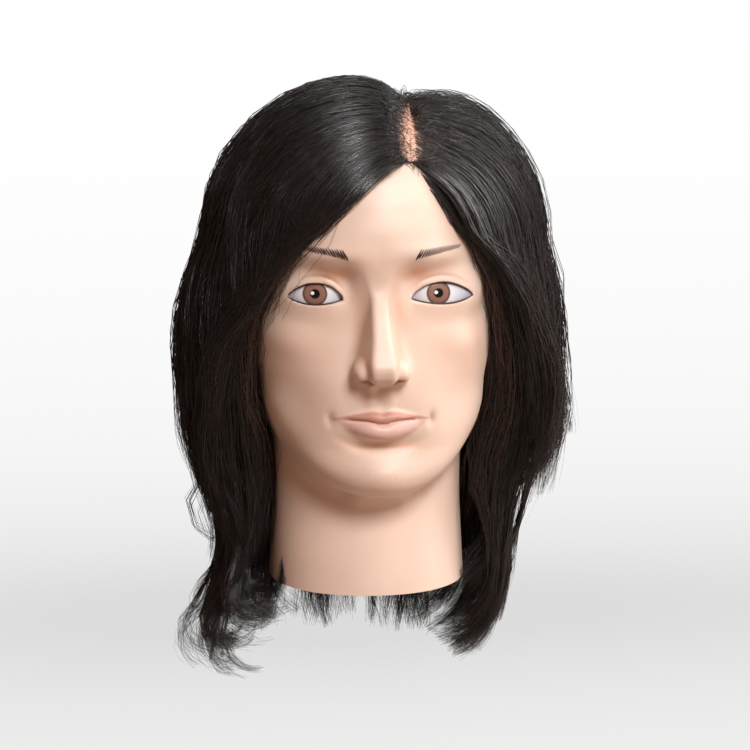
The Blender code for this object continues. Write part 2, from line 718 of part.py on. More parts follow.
def main():
    clear_scene()
    vinyl = material("vinyl", (0.85, 0.60, 0.44), 0.4)
    adhesive = material("adhesive", (0.80, 0.76, 0.62), 0.6)
    foam = material("foam", (0.86, 0.80, 0.62), 0.9)
    plastic = material("socket_plastic", (0.10, 0.10, 0.11), 0.45)
    board = material("base_plastic", (0.72, 0.55, 0.42), 0.5)
    steel = material("screw_steel", (0.62, 0.62, 0.63), 0.3, 1.0)
    hair = material("hair", (0.020, 0.014, 0.012), 0.35)

    make_skin(vinyl)
    make_root_seal(adhesive)
    core = make_core(foam)
    socket = make_socket(plastic)
    pocket = lathe("cut_socket_pocket", socket_profile(GAP), 32)
    cut(core, pocket)
    plate = make_base_plate(board)
    make_screws(steel, (plate, socket, core))
    make_crown(hair)
    make_fringe(hair)
    make_lengths(hair)


main()
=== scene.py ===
"""Looks of a mannequin training head: a painted vinyl head, strands of hair for every CAD hair section, and
finishes for the neck base. Metres, +Z up, face towards -Y, origin in the mouth of the clamp socket."""

import math

import bmesh
import bpy
import numpy as np
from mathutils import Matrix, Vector


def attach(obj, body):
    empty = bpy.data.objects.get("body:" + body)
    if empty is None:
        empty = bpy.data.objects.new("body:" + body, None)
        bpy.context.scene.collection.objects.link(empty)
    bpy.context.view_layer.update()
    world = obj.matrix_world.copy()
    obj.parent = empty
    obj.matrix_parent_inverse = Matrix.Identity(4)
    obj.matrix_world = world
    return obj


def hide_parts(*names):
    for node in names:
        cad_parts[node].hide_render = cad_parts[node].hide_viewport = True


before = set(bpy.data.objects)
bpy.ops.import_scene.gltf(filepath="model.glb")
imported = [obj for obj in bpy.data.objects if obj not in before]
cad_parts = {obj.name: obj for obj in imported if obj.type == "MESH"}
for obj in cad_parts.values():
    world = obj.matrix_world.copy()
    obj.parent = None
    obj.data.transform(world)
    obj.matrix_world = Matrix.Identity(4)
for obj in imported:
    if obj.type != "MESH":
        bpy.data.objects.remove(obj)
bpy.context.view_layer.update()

# Head, as in the CAD part
CROWN_Z = 0.288
CHIN_Z = 0.059
NECK_HALF_WIDTH = 0.0595
SKIN_THICKNESS = 0.0035
RIM_DEPTH = 0.007
SKULL_CENTRE = np.array((0.0, 0.008, 0.200))
NECK_BELOW = 0.02

# Eyes, in front view; the ball is flattened sideways so that it reaches both corners
EYE = np.array((0.0358, -0.0580, 0.1780))
EYE_RADII = np.array((0.0212, 0.0150, 0.0170))
EYE_INNER = 0.0192
EYE_OUTER = 0.0528
EYE_REACH_LEFT = 0.0312
EYE_REACH_RIGHT = 0.0366
EYE_CORNER_Z = 0.1752
EYE_TILT = 0.25
LID_ABOVE = 0.0090
LID_BELOW = 0.0038
LID_THICKNESS = 0.0011
IRIS_X = 0.0350
IRIS_RADIUS = 0.0068

# Mouth
MOUTH_Z = 0.1072
MOUTH_HALF = 0.0276
UPPER_LIP = 0.0056
LOWER_LIP = 0.0117
MOUTH_DIP = 0.0020
FACE_LEAN = 0.030

# Hair: how far its outside lies above SKULL_CENTRE, how far it hangs below it, and the parting
HAIR_TOP = 0.1025
RIGHT_RISE = 0.0095
HAIR_LENGTH = 0.266
PARTING_X = 0.018
PARTING_SLANT = 0.09
PARTING_FRONT_Y = -0.081
PARTING_BACK_Y = 0.012

# Grid of hair rays that the scalp is measured along
TABLE_DEGREES = 3
TABLE_ROW = 0.05
TABLE_ROWS = 43


# ---- smooth shapes, as signed distances

def merge(a, b, soft):
    share = np.clip(0.5 + 0.5 * (b - a) / soft, 0.0, 1.0)
    return b * (1 - share) + a * share - soft * share * (1 - share)


def carve(a, b, soft):
    return -merge(-a, b, soft)


def smooth(value, low, high):
    share = np.clip((value - low) / (high - low), 0, 1)
    return share * share * (3 - 2 * share)


def bell(value, middle, width):
    """1 at the middle, fading away on both sides."""
    return np.exp(-(((value - middle) / width) ** 2))


def ellipsoid(p, centre, radii):
    q = (p - np.array(centre)) / np.array(radii)
    reach = np.sqrt((q * q).sum(-1))
    slope = np.sqrt(((q / np.array(radii)) ** 2).sum(-1)) + 1e-9
    return reach * (reach - 1) / slope


def curve(*points):
    """A smooth line without overshoot through (height, value) points, as a table for np.interp."""
    at, value = np.array(points, float).T
    rise = np.diff(value) / np.diff(at)
    slope = np.zeros(len(at))
    turning = rise[:-1] * rise[1:] <= 0
    slope[1:-1] = np.where(turning, 0, 2 * rise[:-1] * rise[1:] / (rise[:-1] + rise[1:] + 1e-12))
    slope[0] = rise[0]
    slope[-1] = rise[-1]
    fine = np.linspace(at[0], at[-1], 300)
    i = np.clip(np.searchsorted(at, fine) - 1, 0, len(at) - 2)
    span = at[i + 1] - at[i]
    t = (fine - at[i]) / span
    start = (1 + 2 * t) * (1 - t) ** 2 * value[i] + t * (1 - t) ** 2 * span * slope[i]
    end = t * t * (3 - 2 * t) * value[i + 1] + t * t * (t - 1) * span * slope[i + 1]
    return fine, start + end


def loft(p, section, bottom):
    """Distance to a column of oval sections; each curve gives one measure of the oval at a height."""
    x, y, z = p[..., 0], p[..., 1], p[..., 2]
    top = section["width"][0][-1]
    width, front, back, widest, power = (
        np.interp(z, *section[measure]) for measure in ("width", "front", "back", "widest", "power")
    )
    dy = y - widest
    depth = np.where(dy < 0, widest - front, back - widest)
    size = ((np.abs(x) / width) ** power + (np.abs(dy) / depth) ** power + 1e-12) ** (1 / power)
    radius = np.minimum(np.hypot(x, dy) / np.maximum(size, 1e-6), 0.12)
    side = (size - 1) * radius
    past_end = np.maximum(bottom - z, z - top)
    return np.where(past_end > 0, np.hypot(np.maximum(side, 0), past_end), side)


FACE = {
    "width": curve(
        (CHIN_Z, 0.012), (0.0625, 0.024), (0.068, 0.0340), (0.077, 0.0440), (0.088, 0.0535), (0.101, 0.0615),
        (0.112, 0.0650), (0.124, 0.0665), (0.138, 0.0695), (0.155, 0.0708), (0.172, 0.0700), (0.190, 0.0675),
        (0.205, 0.063), (0.225, 0.055),
    ),
    "front": curve(
        (CHIN_Z, -0.066), (0.0625, -0.076), (0.068, -0.0805), (0.077, -0.0825), (0.090, -0.0805),
        (0.104, -0.0815), (0.125, -0.0825), (0.150, -0.0800), (0.177, -0.0780), (0.195, -0.0840),
        (0.210, -0.0845), (0.225, -0.078),
    ),
    "widest": curve(
        (CHIN_Z, -0.052), (0.070, -0.048), (0.085, -0.036), (0.101, -0.026), (0.120, -0.020), (0.150, -0.016),
        (0.180, -0.010), (0.225, 0.0),
    ),
    "back": curve(
        (CHIN_Z, -0.040), (0.070, -0.022), (0.085, 0.002), (0.101, 0.026), (0.120, 0.045), (0.150, 0.062),
        (0.225, 0.070),
    ),
    "power": curve((CHIN_Z, 2.0), (0.080, 2.15), (0.110, 2.25), (0.140, 2.2), (0.180, 2.35), (0.225, 2.2)),
}
NECK = {
    "width": curve(
        (0.0, NECK_HALF_WIDTH), (0.02, 0.0585), (0.05, 0.0575), (0.08, 0.0585), (0.11, 0.060), (0.15, 0.060),
        (0.18, 0.055),
    ),
    "front": curve(
        (0.0, -0.0625), (0.012, -0.060), (0.03, -0.0555), (0.055, -0.050), (0.09, -0.045), (0.18, -0.045),
    ),
    "widest": curve((0.0, 0.004), (0.18, 0.010)),
    "back": curve((0.0, 0.071), (0.02, 0.0675), (0.05, 0.066), (0.09, 0.070), (0.13, 0.080), (0.18, 0.088)),
    "power": curve((0.0, 2.15), (0.18, 2.1)),
}


def both_sides(p, soft=0.0):
    """The points mirrored to the right side; soft rounds the fold in the middle."""
    folded = np.sqrt(p[..., :1] ** 2 + soft * soft)
    return np.concatenate([folded, p[..., 1:]], axis=-1)


def swelling(p, centre, size, height):
    """A soft swelling of the face, or a hollow if height is negative, the same on both sides."""
    away = (np.abs(p[..., 0]) - centre[0]) / size[0], (p[..., 2] - centre[1]) / size[1]
    return height * np.exp(-away[0] ** 2 - away[1] ** 2)


def leaned(p):
    """The points in the face's own frame: below the eyes its middle drifts a little to the right."""
    drift = FACE_LEAN * np.clip(EYE[2] - p[..., 2], 0, EYE[2] - CHIN_Z)
    drift = drift * smooth(p[..., 2], 0.035, CHIN_Z)
    return np.stack([p[..., 0] - drift, p[..., 1], p[..., 2]], -1)


def on_face(p):
    """1 on the front of the head and 0 behind it."""
    return 1 / (1 + np.exp(np.clip((p[..., 1] + 0.045) / 0.006, -40, 40)))


def skull(p):
    form = merge(
        ellipsoid(p, (0, -0.006, 0.208), (0.0700, 0.0825, CROWN_Z - 0.210)),
        ellipsoid(p, (0, 0.026, 0.205), (0.0745, 0.0800, CROWN_Z - 0.2065)),
        0.020,
    )
    form = merge(form, loft(leaned(p), FACE, CHIN_Z), 0.012)
    return merge(form, loft(p, NECK, -NECK_BELOW), 0.018)


NOSE = {
    "front": curve(
        (0.1270, -0.0945), (0.1300, -0.1005), (0.1340, -0.1048), (0.1385, -0.1064), (0.1450, -0.1038),
        (0.1600, -0.0962), (0.1760, -0.0880), (0.1860, -0.0842), (0.1980, -0.0834),
    ),
    "half": curve(
        (0.127, 0.0040), (0.132, 0.0062), (0.140, 0.0064), (0.155, 0.0048), (0.175, 0.0042), (0.198, 0.0070),
    ),
}
NOSE_BOTTOM = 0.1272
NOSE_TOP = 0.1960
NOSE_FLARE = 0.34
NOSE_ROOT_Y = -0.060


def nose(p):
    """A wedge with a flat front and steep sides, and a wing on each side of its tip."""
    x, y, z = np.sqrt(p[..., 0] ** 2 + 0.0012**2), p[..., 1], p[..., 2]
    front, half = (np.interp(z, *NOSE[measure]) for measure in ("front", "half"))
    ahead = 0.88 * (front - y)
    aside = (x - half - NOSE_FLARE * (y - front)) / math.hypot(1, NOSE_FLARE)
    body = carve(ahead, -aside, 0.0022)
    body = carve(body, -np.maximum(NOSE_BOTTOM - z, z - NOSE_TOP), 0.0030)
    body = np.maximum(body, y - NOSE_ROOT_Y)
    wing = ellipsoid(both_sides(p, 0.002), (0.0112, -0.0880, 0.1352), (0.0054, 0.0098, 0.0066))
    return merge(body, wing, 0.0034)


def nostrils(p):
    return ellipsoid(both_sides(p, 0.001), (0.0084, -0.0925, 0.1282), (0.0046, 0.0064, 0.0034))


def lip_edges(x):
    """Heights of the upper lip's outline, of the line between the lips, and of the lower lip's outline."""
    across = np.clip(np.abs(x) / MOUTH_HALF, 0, 1)
    bow = UPPER_LIP * (1 - across**1.7) - 0.0010 * bell(x, 0, 0.0030)
    line = MOUTH_Z - MOUTH_DIP * bell(x, 0, 0.0062)
    return MOUTH_Z + np.maximum(bow, 0), line, MOUTH_Z - LOWER_LIP * (1 - across**2.1)


def lip_roll(p, arc, height, centre_z, depth):
    """A soft roll that follows the teeth's arc."""
    tall = np.maximum(height, 0.0006)
    deep = np.maximum(depth, 0.0006)
    qy, qz = (p[..., 1] - arc) / deep, (p[..., 2] - centre_z) / tall
    reach = np.hypot(qy, qz)
    form = reach * (reach - 1) / (np.hypot(qy / deep, qz / tall) + 1e-9)
    past = np.abs(p[..., 0]) - MOUTH_HALF
    return np.where(past > 0, np.maximum(form, past), form)


def add_lips(p, form):
    x, z = p[..., 0], p[..., 2]
    across = np.clip(np.abs(x) / MOUTH_HALF, 0, 1)
    arc = -0.0822 + 0.0120 * across**2.2
    fade = 1 - across**2.5
    top, line, bottom = lip_edges(x)
    upper, lower = top - line, line - bottom
    upper_roll = lip_roll(p, arc, 0.60 * upper, line + 0.46 * upper, 0.0060 * fade + 0.001)
    lower_roll = lip_roll(p, arc + 0.0004, 0.56 * lower, bottom + 0.54 * lower, 0.0070 * fade + 0.001)
    form = merge(merge(form, upper_roll, 0.0030), lower_roll, 0.0040)
    slot = np.hypot(z - line, (p[..., 1] - (arc - 0.0066 * fade)) * 0.35) - 0.0005 * np.sqrt(fade)
    slot = np.maximum(slot, np.abs(x) - 0.96 * MOUTH_HALF)
    form = carve(form, slot, 0.0016)
    above = np.clip((z - 0.1125) / 0.004, 0, 1) * np.clip((0.1290 - z) / 0.004, 0, 1)
    groove = 0.0010 * bell(x, 0, 0.0032) - 0.0005 * bell(np.abs(x), 0.0060, 0.0026)
    corner = swelling(p, (0.0288, MOUTH_Z - 0.0002), (0.0026, 0.0042), 0.0015)
    under_lip = MOUTH_Z - 1.38 * LOWER_LIP * (1 - 0.35 * across**3)
    beneath = 0.0020 * bell(z, under_lip, 0.0036) * (1 - smooth(np.abs(x), 0.013, 0.030))
    return form + on_face(p) * (groove * above + corner + beneath)


def lid_lines(x):
    """Heights of the upper and lower lid edges at x."""
    along = np.clip((x - EYE_INNER) / (EYE_OUTER - EYE_INNER), 0, 1)
    above = LID_ABOVE * np.clip(np.sin(math.pi * along**0.86), 0, 1) ** 0.66
    below = LID_BELOW * np.clip(np.sin(math.pi * along**1.12), 0, 1) ** 0.72
    corner = EYE_CORNER_Z + 0.0010 * (along - 0.5)
    return corner + above, corner - below


def eye_space(p):
    """Both sides mirrored to the right, stretched along x so that both eyes reach from EYE_INNER to EYE_OUTER,
    and tilted so that the balls' inner sides lie further forward."""
    x = np.abs(p[..., 0])
    reach = np.where(p[..., 0] > 0, EYE_REACH_RIGHT, EYE_REACH_LEFT)
    along = np.maximum(x - EYE_INNER, 0) * ((EYE_OUTER - EYE_INNER) / reach) + np.minimum(x, EYE_INNER)
    return np.stack([along, p[..., 1] + EYE_TILT * (EYE[0] - along), p[..., 2]], -1)


def from_eye_space(along, side):
    reach = EYE_REACH_RIGHT if side > 0 else EYE_REACH_LEFT
    x = np.maximum(along - EYE_INNER, 0) * (reach / (EYE_OUTER - EYE_INNER)) + np.minimum(along, EYE_INNER)
    return side * x


def eye_front(along, z, lift):
    """The y of the ball's surface at a place in eye space, raised by lift."""
    q = (along - EYE[0]) / EYE_RADII[0], (z - EYE[2]) / EYE_RADII[2]
    ball = EYE[1] - EYE_RADII[1] * np.sqrt(np.clip(1 - q[0] ** 2 - q[1] ** 2, 0.02, 1))
    return ball - EYE_TILT * (EYE[0] - along) - lift


def add_eyes(p, form):
    q = eye_space(p)
    x, z = q[..., 0], q[..., 2]
    ball = ellipsoid(q, EYE, EYE_RADII)
    form = merge(form, ball - LID_THICKNESS, 0.0070)
    upper, lower = lid_lines(x)
    opening = np.abs(z - (upper + lower) / 2) - (upper - lower) / 2
    opening = np.maximum(opening, np.maximum(EYE_INNER - x, x - EYE_OUTER))
    form = carve(form, np.maximum(opening, p[..., 1] + 0.045), 0.0008)
    form = merge(form, ball, 0.0003)
    middle, half = (EYE_INNER + EYE_OUTER) / 2, (EYE_OUTER - EYE_INNER) / 2
    span = np.clip(1 - ((x - middle) / (1.1 * half)) ** 4, 0, 1) * on_face(p)
    return form + span * (0.0008 * bell(z - upper, 0.0036, 0.0010))


def ears(p):
    """Tilted shells with a rolled rim and a lobe."""
    back, up = p[..., 1] - 0.0150, p[..., 2] - 0.1580
    lean = math.radians(10)
    across = math.cos(lean) * back - math.sin(lean) * up
    along = math.sin(lean) * back + math.cos(lean) * up
    out = np.abs(p[..., 0]) - (0.0725 + 0.30 * (across + 0.008))
    wide = 0.0165 + 0.0035 * np.clip(along / 0.03, -1, 1)
    egg = np.hypot(across / wide, along / 0.0315)
    shell = np.maximum(np.abs(out) - 0.0020, (egg - 1) * 0.017)
    rim = np.hypot((egg - 0.86) * 0.017, out - 0.0028) - 0.0026
    rim = rim + 0.004 * np.clip((-along - 0.016) / 0.01, 0, 1)
    lobe = np.sqrt((across + 0.004) ** 2 + ((along + 0.027) * 0.8) ** 2 + (out * 1.6) ** 2) - 0.0068
    return merge(merge(shell, rim, 0.002), lobe, 0.004)


def plain_head(p):
    """The head form without fine features, for the hair to lie on."""
    return merge(skull(p), ears(p), 0.0045)


SWELLINGS = (
    ((0.050, 0.150), (0.016, 0.011), 0.0032),  # cheekbone
    ((0.026, 0.2000), (0.019, 0.0065), 0.0030),  # brow
    ((0.034, 0.1865), (0.018, 0.0100), -0.0052),  # eye socket
    ((0.0180, 0.1840), (0.0075, 0.0120), -0.0050),  # inner corner of the eye
    ((0.048, 0.115), (0.014, 0.018), -0.0030),  # hollow cheek
    ((0.018, 0.113), (0.016, 0.016), 0.0020),  # teeth behind the lips
    ((0.0, 0.0725), (0.017, 0.0095), 0.0040),  # chin
    ((0.060, 0.205), (0.012, 0.016), -0.0010),  # temple
)


def head(p):
    q = leaned(p)
    form = skull(p) - on_face(p) * sum(swelling(q, *one) for one in SWELLINGS)
    form = merge(form, nose(q), 0.0050)
    form = carve(form, nostrils(q), 0.0020)
    form = add_lips(q, form)
    form = add_eyes(q, form)
    return merge(form, ears(p), 0.0045)


# ---- a mesh from a signed distance

COARSE_STEP = 0.0045


def spaced(low, high, fine_from, fine_to, fine):
    """Grid lines from low to high: close together in the fine stretch, and wider away from it."""
    lines = [low]
    while lines[-1] < high:
        away = max(fine_from - lines[-1], lines[-1] - fine_to, 0)
        lines.append(lines[-1] + min(COARSE_STEP, fine + away * 0.20))
    return np.array(lines)


def sampled(form, axes):
    """The form's distance on the grid, one slice after another."""
    y, z = np.meshgrid(axes[1], axes[2], indexing="ij")
    return np.stack([form(np.stack([np.full_like(y, x), y, z], -1)) for x in axes[0]])


def surface_nets(form, axes):
    """One point in each grid cell that the surface passes through, and a quad across each grid edge it cuts."""
    grid = sampled(form, axes)
    size = grid.shape
    inside = grid < 0
    count = inside.astype(np.int8)
    for axis in range(3):
        count = np.take(count, range(size[axis] - 1), axis) + np.take(count, range(1, size[axis]), axis)
    cells = np.argwhere((count > 0) & (count < 8))
    number = np.full([n - 1 for n in size], -1, np.int64)
    number[tuple(cells.T)] = np.arange(len(cells))
    total = np.zeros((len(cells), 3))
    cuts = np.zeros(len(cells))
    faces = []
    for axis in range(3):
        others = [a for a in range(3) if a != axis]
        for da, db in ((0, 0), (0, 1), (1, 0), (1, 1)):
            start = cells.copy()
            start[:, others[0]] += da
            start[:, others[1]] += db
            end = start.copy()
            end[:, axis] += 1
            va, vb = grid[tuple(start.T)], grid[tuple(end.T)]
            cut = (va < 0) != (vb < 0)
            share = np.where(cut, va / np.where(cut, va - vb, 1), 0)
            a = np.stack([axes[m][start[:, m]] for m in range(3)], -1)
            b = np.stack([axes[m][end[:, m]] for m in range(3)], -1)
            total += np.where(cut[:, None], a + (b - a) * share[:, None], 0)
            cuts += cut
        first, second = (axis + 1) % 3, (axis + 2) % 3
        near = np.take(inside, range(size[axis] - 1), axis)
        far = np.take(inside, range(1, size[axis]), axis)
        edges = np.argwhere(near != far)
        room = (edges[:, first] > 0) & (edges[:, second] > 0)
        room &= (edges[:, first] < size[first] - 1) & (edges[:, second] < size[second] - 1)
        edges = edges[room]
        ring = []
        for d1, d2 in ((-1, -1), (0, -1), (0, 0), (-1, 0)):
            cell = edges.copy()
            cell[:, first] += d1
            cell[:, second] += d2
            ring.append(number[tuple(cell.T)])
        ring = np.stack(ring, -1)
        turned = ~near[tuple(edges.T)]
        ring[turned] = ring[turned][:, ::-1]
        faces.append(ring)
    return total / cuts[:, None], np.concatenate(faces)


def settled(form, points, rounds=3, step=0.0003):
    """The points moved onto the surface along the form's slope."""
    for _ in range(rounds):
        ahead_behind = [(form(points + step * axis), form(points - step * axis)) for axis in np.eye(3)]
        slope = np.stack([(ahead - behind) / (2 * step) for ahead, behind in ahead_behind], -1)
        move = -form(points) / ((slope * slope).sum(-1) + 1e-9)
        points = points + slope * np.clip(move, -0.002, 0.002)[:, None]
    return points


def added(name, data):
    """A new object in the scene."""
    item = bpy.data.objects.new(name, data)
    bpy.context.scene.collection.objects.link(item)
    return item


def new_piece(name, points, faces, finish):
    mesh = bpy.data.meshes.new(name)
    mesh.from_pydata(np.asarray(points).tolist(), [], [list(map(int, face)) for face in faces])
    mesh.validate()
    mesh.shade_smooth()
    mesh.materials.append(finish)
    return added(name, mesh)


def set_attribute(mesh, name, values):
    made = mesh.attributes.new(name, "FLOAT", "POINT")
    made.data.foreach_set("value", np.asarray(values, np.float32))


def points_of(mesh):
    co = np.zeros(len(mesh.vertices) * 3)
    mesh.vertices.foreach_get("co", co)
    return co.reshape(-1, 3)


# ---- rays that share the head out between the hair sections

def row_height(row):
    return SKULL_CENTRE[2] - np.clip(row - 1, 0, None) * HAIR_LENGTH


def hair_ray(azimuth, row):
    """A ray from the head's upright axis. Azimuth 0 looks out through the face, positive to +X. Row 0 to 1 fans
    out over the scalp, and past 1 the hair hangs."""
    height = row_height(row)
    pitch = math.pi / 2 * (1 - np.clip(row, 0, 1))
    flat = np.cos(pitch)
    origins = np.tile(SKULL_CENTRE, (*height.shape, 1))
    origins[..., 2] = height
    return origins, np.stack([flat * np.sin(azimuth), -flat * np.cos(azimuth), np.sin(pitch)], -1)


def address(points):
    """The azimuth and row of the hair ray that each point lies on."""
    away = points - SKULL_CENTRE
    flat = np.hypot(away[..., 0], away[..., 1])
    azimuth = np.arctan2(away[..., 0], -away[..., 1])
    cap = 1 - np.arctan2(away[..., 2], flat) / (math.pi / 2)
    return azimuth, np.where(away[..., 2] > 0, cap, 1 - away[..., 2] / HAIR_LENGTH)


def first_crossing(form, origins, directions, start, step, steps):
    """How far along each ray the form's outside is first met, on the way out."""
    low = np.full(len(origins), start)
    found = np.zeros(len(origins), bool)
    high = np.full(len(origins), start + step * steps)
    for number in range(1, steps):
        far = start + step * number
        outside = form(origins + far * directions) > 0
        high = np.where(outside & ~found, far, high)
        found |= outside
        low = np.where(found, low, far)
    for _ in range(12):
        middle = (low + high) / 2
        outside = form(origins + middle[:, None] * directions) > 0
        high = np.where(outside, middle, high)
        low = np.where(outside, low, middle)
    return (low + high) / 2


def scalp_table():
    rows = np.minimum(TABLE_ROW * np.arange(TABLE_ROWS), 1 + SKULL_CENTRE[2] / HAIR_LENGTH)
    azimuth, row = np.meshgrid(np.radians(np.arange(-180, 181, TABLE_DEGREES)), rows)
    origins, directions = hair_ray(azimuth.ravel(), row.ravel())
    return first_crossing(plain_head, origins, directions, 0.032, 0.003, 30).reshape(azimuth.shape)


SCALP = scalp_table()


def scalp_reach(azimuth, row):
    across = ((np.degrees(azimuth) + 180) % 360) / TABLE_DEGREES
    down = np.clip(row / TABLE_ROW, 0, TABLE_ROWS - 1.001)
    i, j = down.astype(int), across.astype(int)
    di, dj = down - i, across - j
    j = np.minimum(j, SCALP.shape[1] - 2)
    upper = SCALP[i, j] * (1 - dj) + SCALP[i, j + 1] * dj
    lower = SCALP[i + 1, j] * (1 - dj) + SCALP[i + 1, j + 1] * dj
    return upper * (1 - di) + lower * di


HAIR_LEFT = curve(
    (-0.068, 0.098), (-0.045, 0.106), (-0.015, 0.100), (0.020, 0.093), (0.055, 0.103), (0.095, 0.111),
    (0.140, 0.113), (0.172, 0.110), (0.188, 0.105), (0.200, 0.0975),
)
HAIR_RIGHT = curve(
    (-0.068, 0.072), (-0.040, 0.082), (0.0, 0.093), (0.030, 0.102), (0.060, 0.116), (0.092, 0.1245),
    (0.138, 0.121), (0.175, 0.117), (0.200, 0.1095),
)
HAIR_FRONT = curve((-0.068, 0.070), (0.0, 0.066), (0.060, 0.076), (0.140, 0.092), (0.200, 0.098))
HAIR_BACK = curve((-0.068, 0.094), (0.0, 0.100), (0.080, 0.110), (0.150, 0.116), (0.200, 0.115))


def hair_outside(azimuth, row, directions):
    height = row_height(row)
    side = np.where(np.sin(azimuth) < 0, np.interp(height, *HAIR_LEFT), np.interp(height, *HAIR_RIGHT))
    facing = np.where(np.cos(azimuth) > 0, np.interp(height, *HAIR_FRONT), np.interp(height, *HAIR_BACK))
    top = HAIR_TOP + RIGHT_RISE * smooth(directions[..., 0], 0.12, 0.36)
    flat = (directions[..., 0] / side) ** 2 + (directions[..., 1] / facing) ** 2
    return 1 / np.sqrt(flat + (directions[..., 2] / top) ** 2)


def placed(azimuth, row, share):
    """Points in the hair: share 0 is on the scalp or the inner side of hanging hair, and 1 on the outside."""
    origins, directions = hair_ray(azimuth, row)
    scalp = scalp_reach(azimuth, row)
    outside = np.maximum(hair_outside(azimuth, row, directions), scalp + 0.006)
    hanging = smooth(row, 1.15, 1.5) * smooth(np.abs(np.degrees(azimuth)), 60, 100)
    inside = scalp + hanging * np.maximum(0.66 * outside - scalp, 0)
    far = inside + share * (outside - inside)
    return origins + far[..., None] * directions


# ---- how the hair flows

PARTING_END_ROW = 0.645
DOME_RADIUS = 0.088


def parting_x(y):
    return PARTING_X + PARTING_SLANT * (y - PARTING_FRONT_Y)


def bare_half(y):
    """Half the width of the strip of bare scalp along the parting."""
    middle = 0.62 * PARTING_FRONT_Y + 0.38 * PARTING_BACK_Y
    return 0.0026 + 0.0042 * bell(y, middle, 0.024)


def dome_points(x, y, least):
    """Points near the scalp's dome over x and y. The squared height above its middle is least or more."""
    return np.stack([x, y, 0.2 + np.sqrt(np.clip(DOME_RADIUS**2 - x**2 - (y - 0.01) ** 2, least, 1))], -1)


def parting_azimuth(row):
    flat = 0.094 * np.sin(np.clip(row, 0.02, 1) * math.pi / 2)
    y = SKULL_CENTRE[1] - np.sqrt(np.maximum(flat**2 - PARTING_X**2, 0))
    return np.arcsin(np.clip(parting_x(y) / flat, -1, 1))


# The hairline round the face on each side, as (row, degrees from the middle)
EDGE_LEFT = (
    (0.64, 12.5), (0.70, 8), (0.76, 0), (0.86, -14), (0.98, -28), (1.09, -43), (1.17, -55), (1.28, -61),
    (1.37, -65), (1.43, -70), (1.54, -69), (1.75, -69), (2.01, -62),
)
EDGE_RIGHT = (
    (0.64, 12.5), (0.70, 16), (0.80, 20), (0.92, 29), (1.00, 41), (1.05, 50), (1.12, 57), (1.18, 61),
    (1.24, 65), (1.33, 69), (1.54, 70), (1.75, 68), (2.01, 60),
)


def face_edge(row, side):
    """The azimuth that the hair of a side starts from at a row: the parting, then the line round the face."""
    at, degrees = np.array(EDGE_LEFT if side < 0 else EDGE_RIGHT).T
    line = np.radians(np.interp(row, at, degrees))
    return np.where(row < PARTING_END_ROW, parting_azimuth(row), line)


def flow(points, row, side):
    """Unit directions that hair lies in at the points: away from the parting, then more and more downwards."""
    nearest_y = np.clip(points[:, 1], PARTING_FRONT_Y, PARTING_BACK_Y)
    out_x = points[:, 0] - parting_x(nearest_y) + side * 0.004
    out_y = points[:, 1] - nearest_y
    size = np.hypot(out_x, out_y) + 1e-6
    sideways = 1 - smooth(row, 0.55, 1.08)
    down = -0.30 - 0.7 * smooth(row, 0.3, 0.9)
    direction = np.stack([sideways * out_x / size, sideways * out_y / size, down], -1)
    normal = points - SKULL_CENTRE
    normal[:, 2] = np.where(row > 1, 0, normal[:, 2])
    normal /= np.linalg.norm(normal, axis=1)[:, None]
    direction -= (direction * normal).sum(-1)[:, None] * normal
    return direction / (np.linalg.norm(direction, axis=1)[:, None] + 1e-9)


# Hair of one side may lie past the middle of the back, but not past these azimuths
FARTHEST_ROUND = math.pi + 0.8
WRAPPED_ROUND = -2.2
STEP = 0.009
STEPS = 52


def grown(root_azimuth, root_row, side, offset, share, rise, tip_row):
    """Paths of strands from their roots to their tips, each with STRAND_POINTS points."""
    count = len(root_azimuth)
    points = placed(root_azimuth, root_row, np.full(count, -0.03))
    path = [points]
    rows = [root_row]
    for number in range(1, STEPS):
        moved = points + STEP * flow(points, rows[-1], side)
        azimuth, row = address(moved)
        turned = np.where(side * azimuth < WRAPPED_ROUND, azimuth + side * 2 * math.pi, azimuth)
        edge = side * face_edge(row, side)
        azimuth = side * np.maximum(side * turned, edge + offset)
        azimuth = side * np.minimum(side * azimuth, FARTHEST_ROUND)
        spread = 0.7 * np.maximum(1 - share, 0) * smooth(row, 1.50, 1.78) * (tip_row > 1.7)
        height = (share + spread) * (1 - np.exp(-STEP * number / rise))
        points = placed(azimuth, row, height)
        path.append(points)
        rows.append(row)
    path = np.stack(path, 1)
    rows = np.maximum.accumulate(np.stack(rows, 1), axis=1)
    return cut_at(path, rows, tip_row)


STRAND_POINTS = 20
EVENLY = np.linspace(0, 1, STRAND_POINTS)
ALONG = EVENLY - 0.095 * np.sin(2 * math.pi * EVENLY)


def cut_at(path, rows, tip_row):
    """The paths up to their tips' rows, with their points spread evenly."""
    past = rows >= tip_row[:, None]
    last = np.where(past.any(1), past.argmax(1), rows.shape[1] - 1)
    before = np.maximum(last - 1, 0)
    index = np.arange(len(path))
    span = np.maximum(rows[index, last] - rows[index, before], 1e-6)
    end = before + np.clip((tip_row - rows[index, before]) / span, 0.05, 1)
    at = ALONG[None, :] * end[:, None]
    i = np.minimum(at.astype(int), path.shape[1] - 2)
    part = (at - i)[..., None]
    return path[index[:, None], i] * (1 - part) + path[index[:, None], i + 1] * part


def unit(vectors):
    return vectors / (np.linalg.norm(vectors, axis=-1)[..., None] + 1e-12)


LONG_WAVE = 0.16
SHORT_WAVE = 0.075


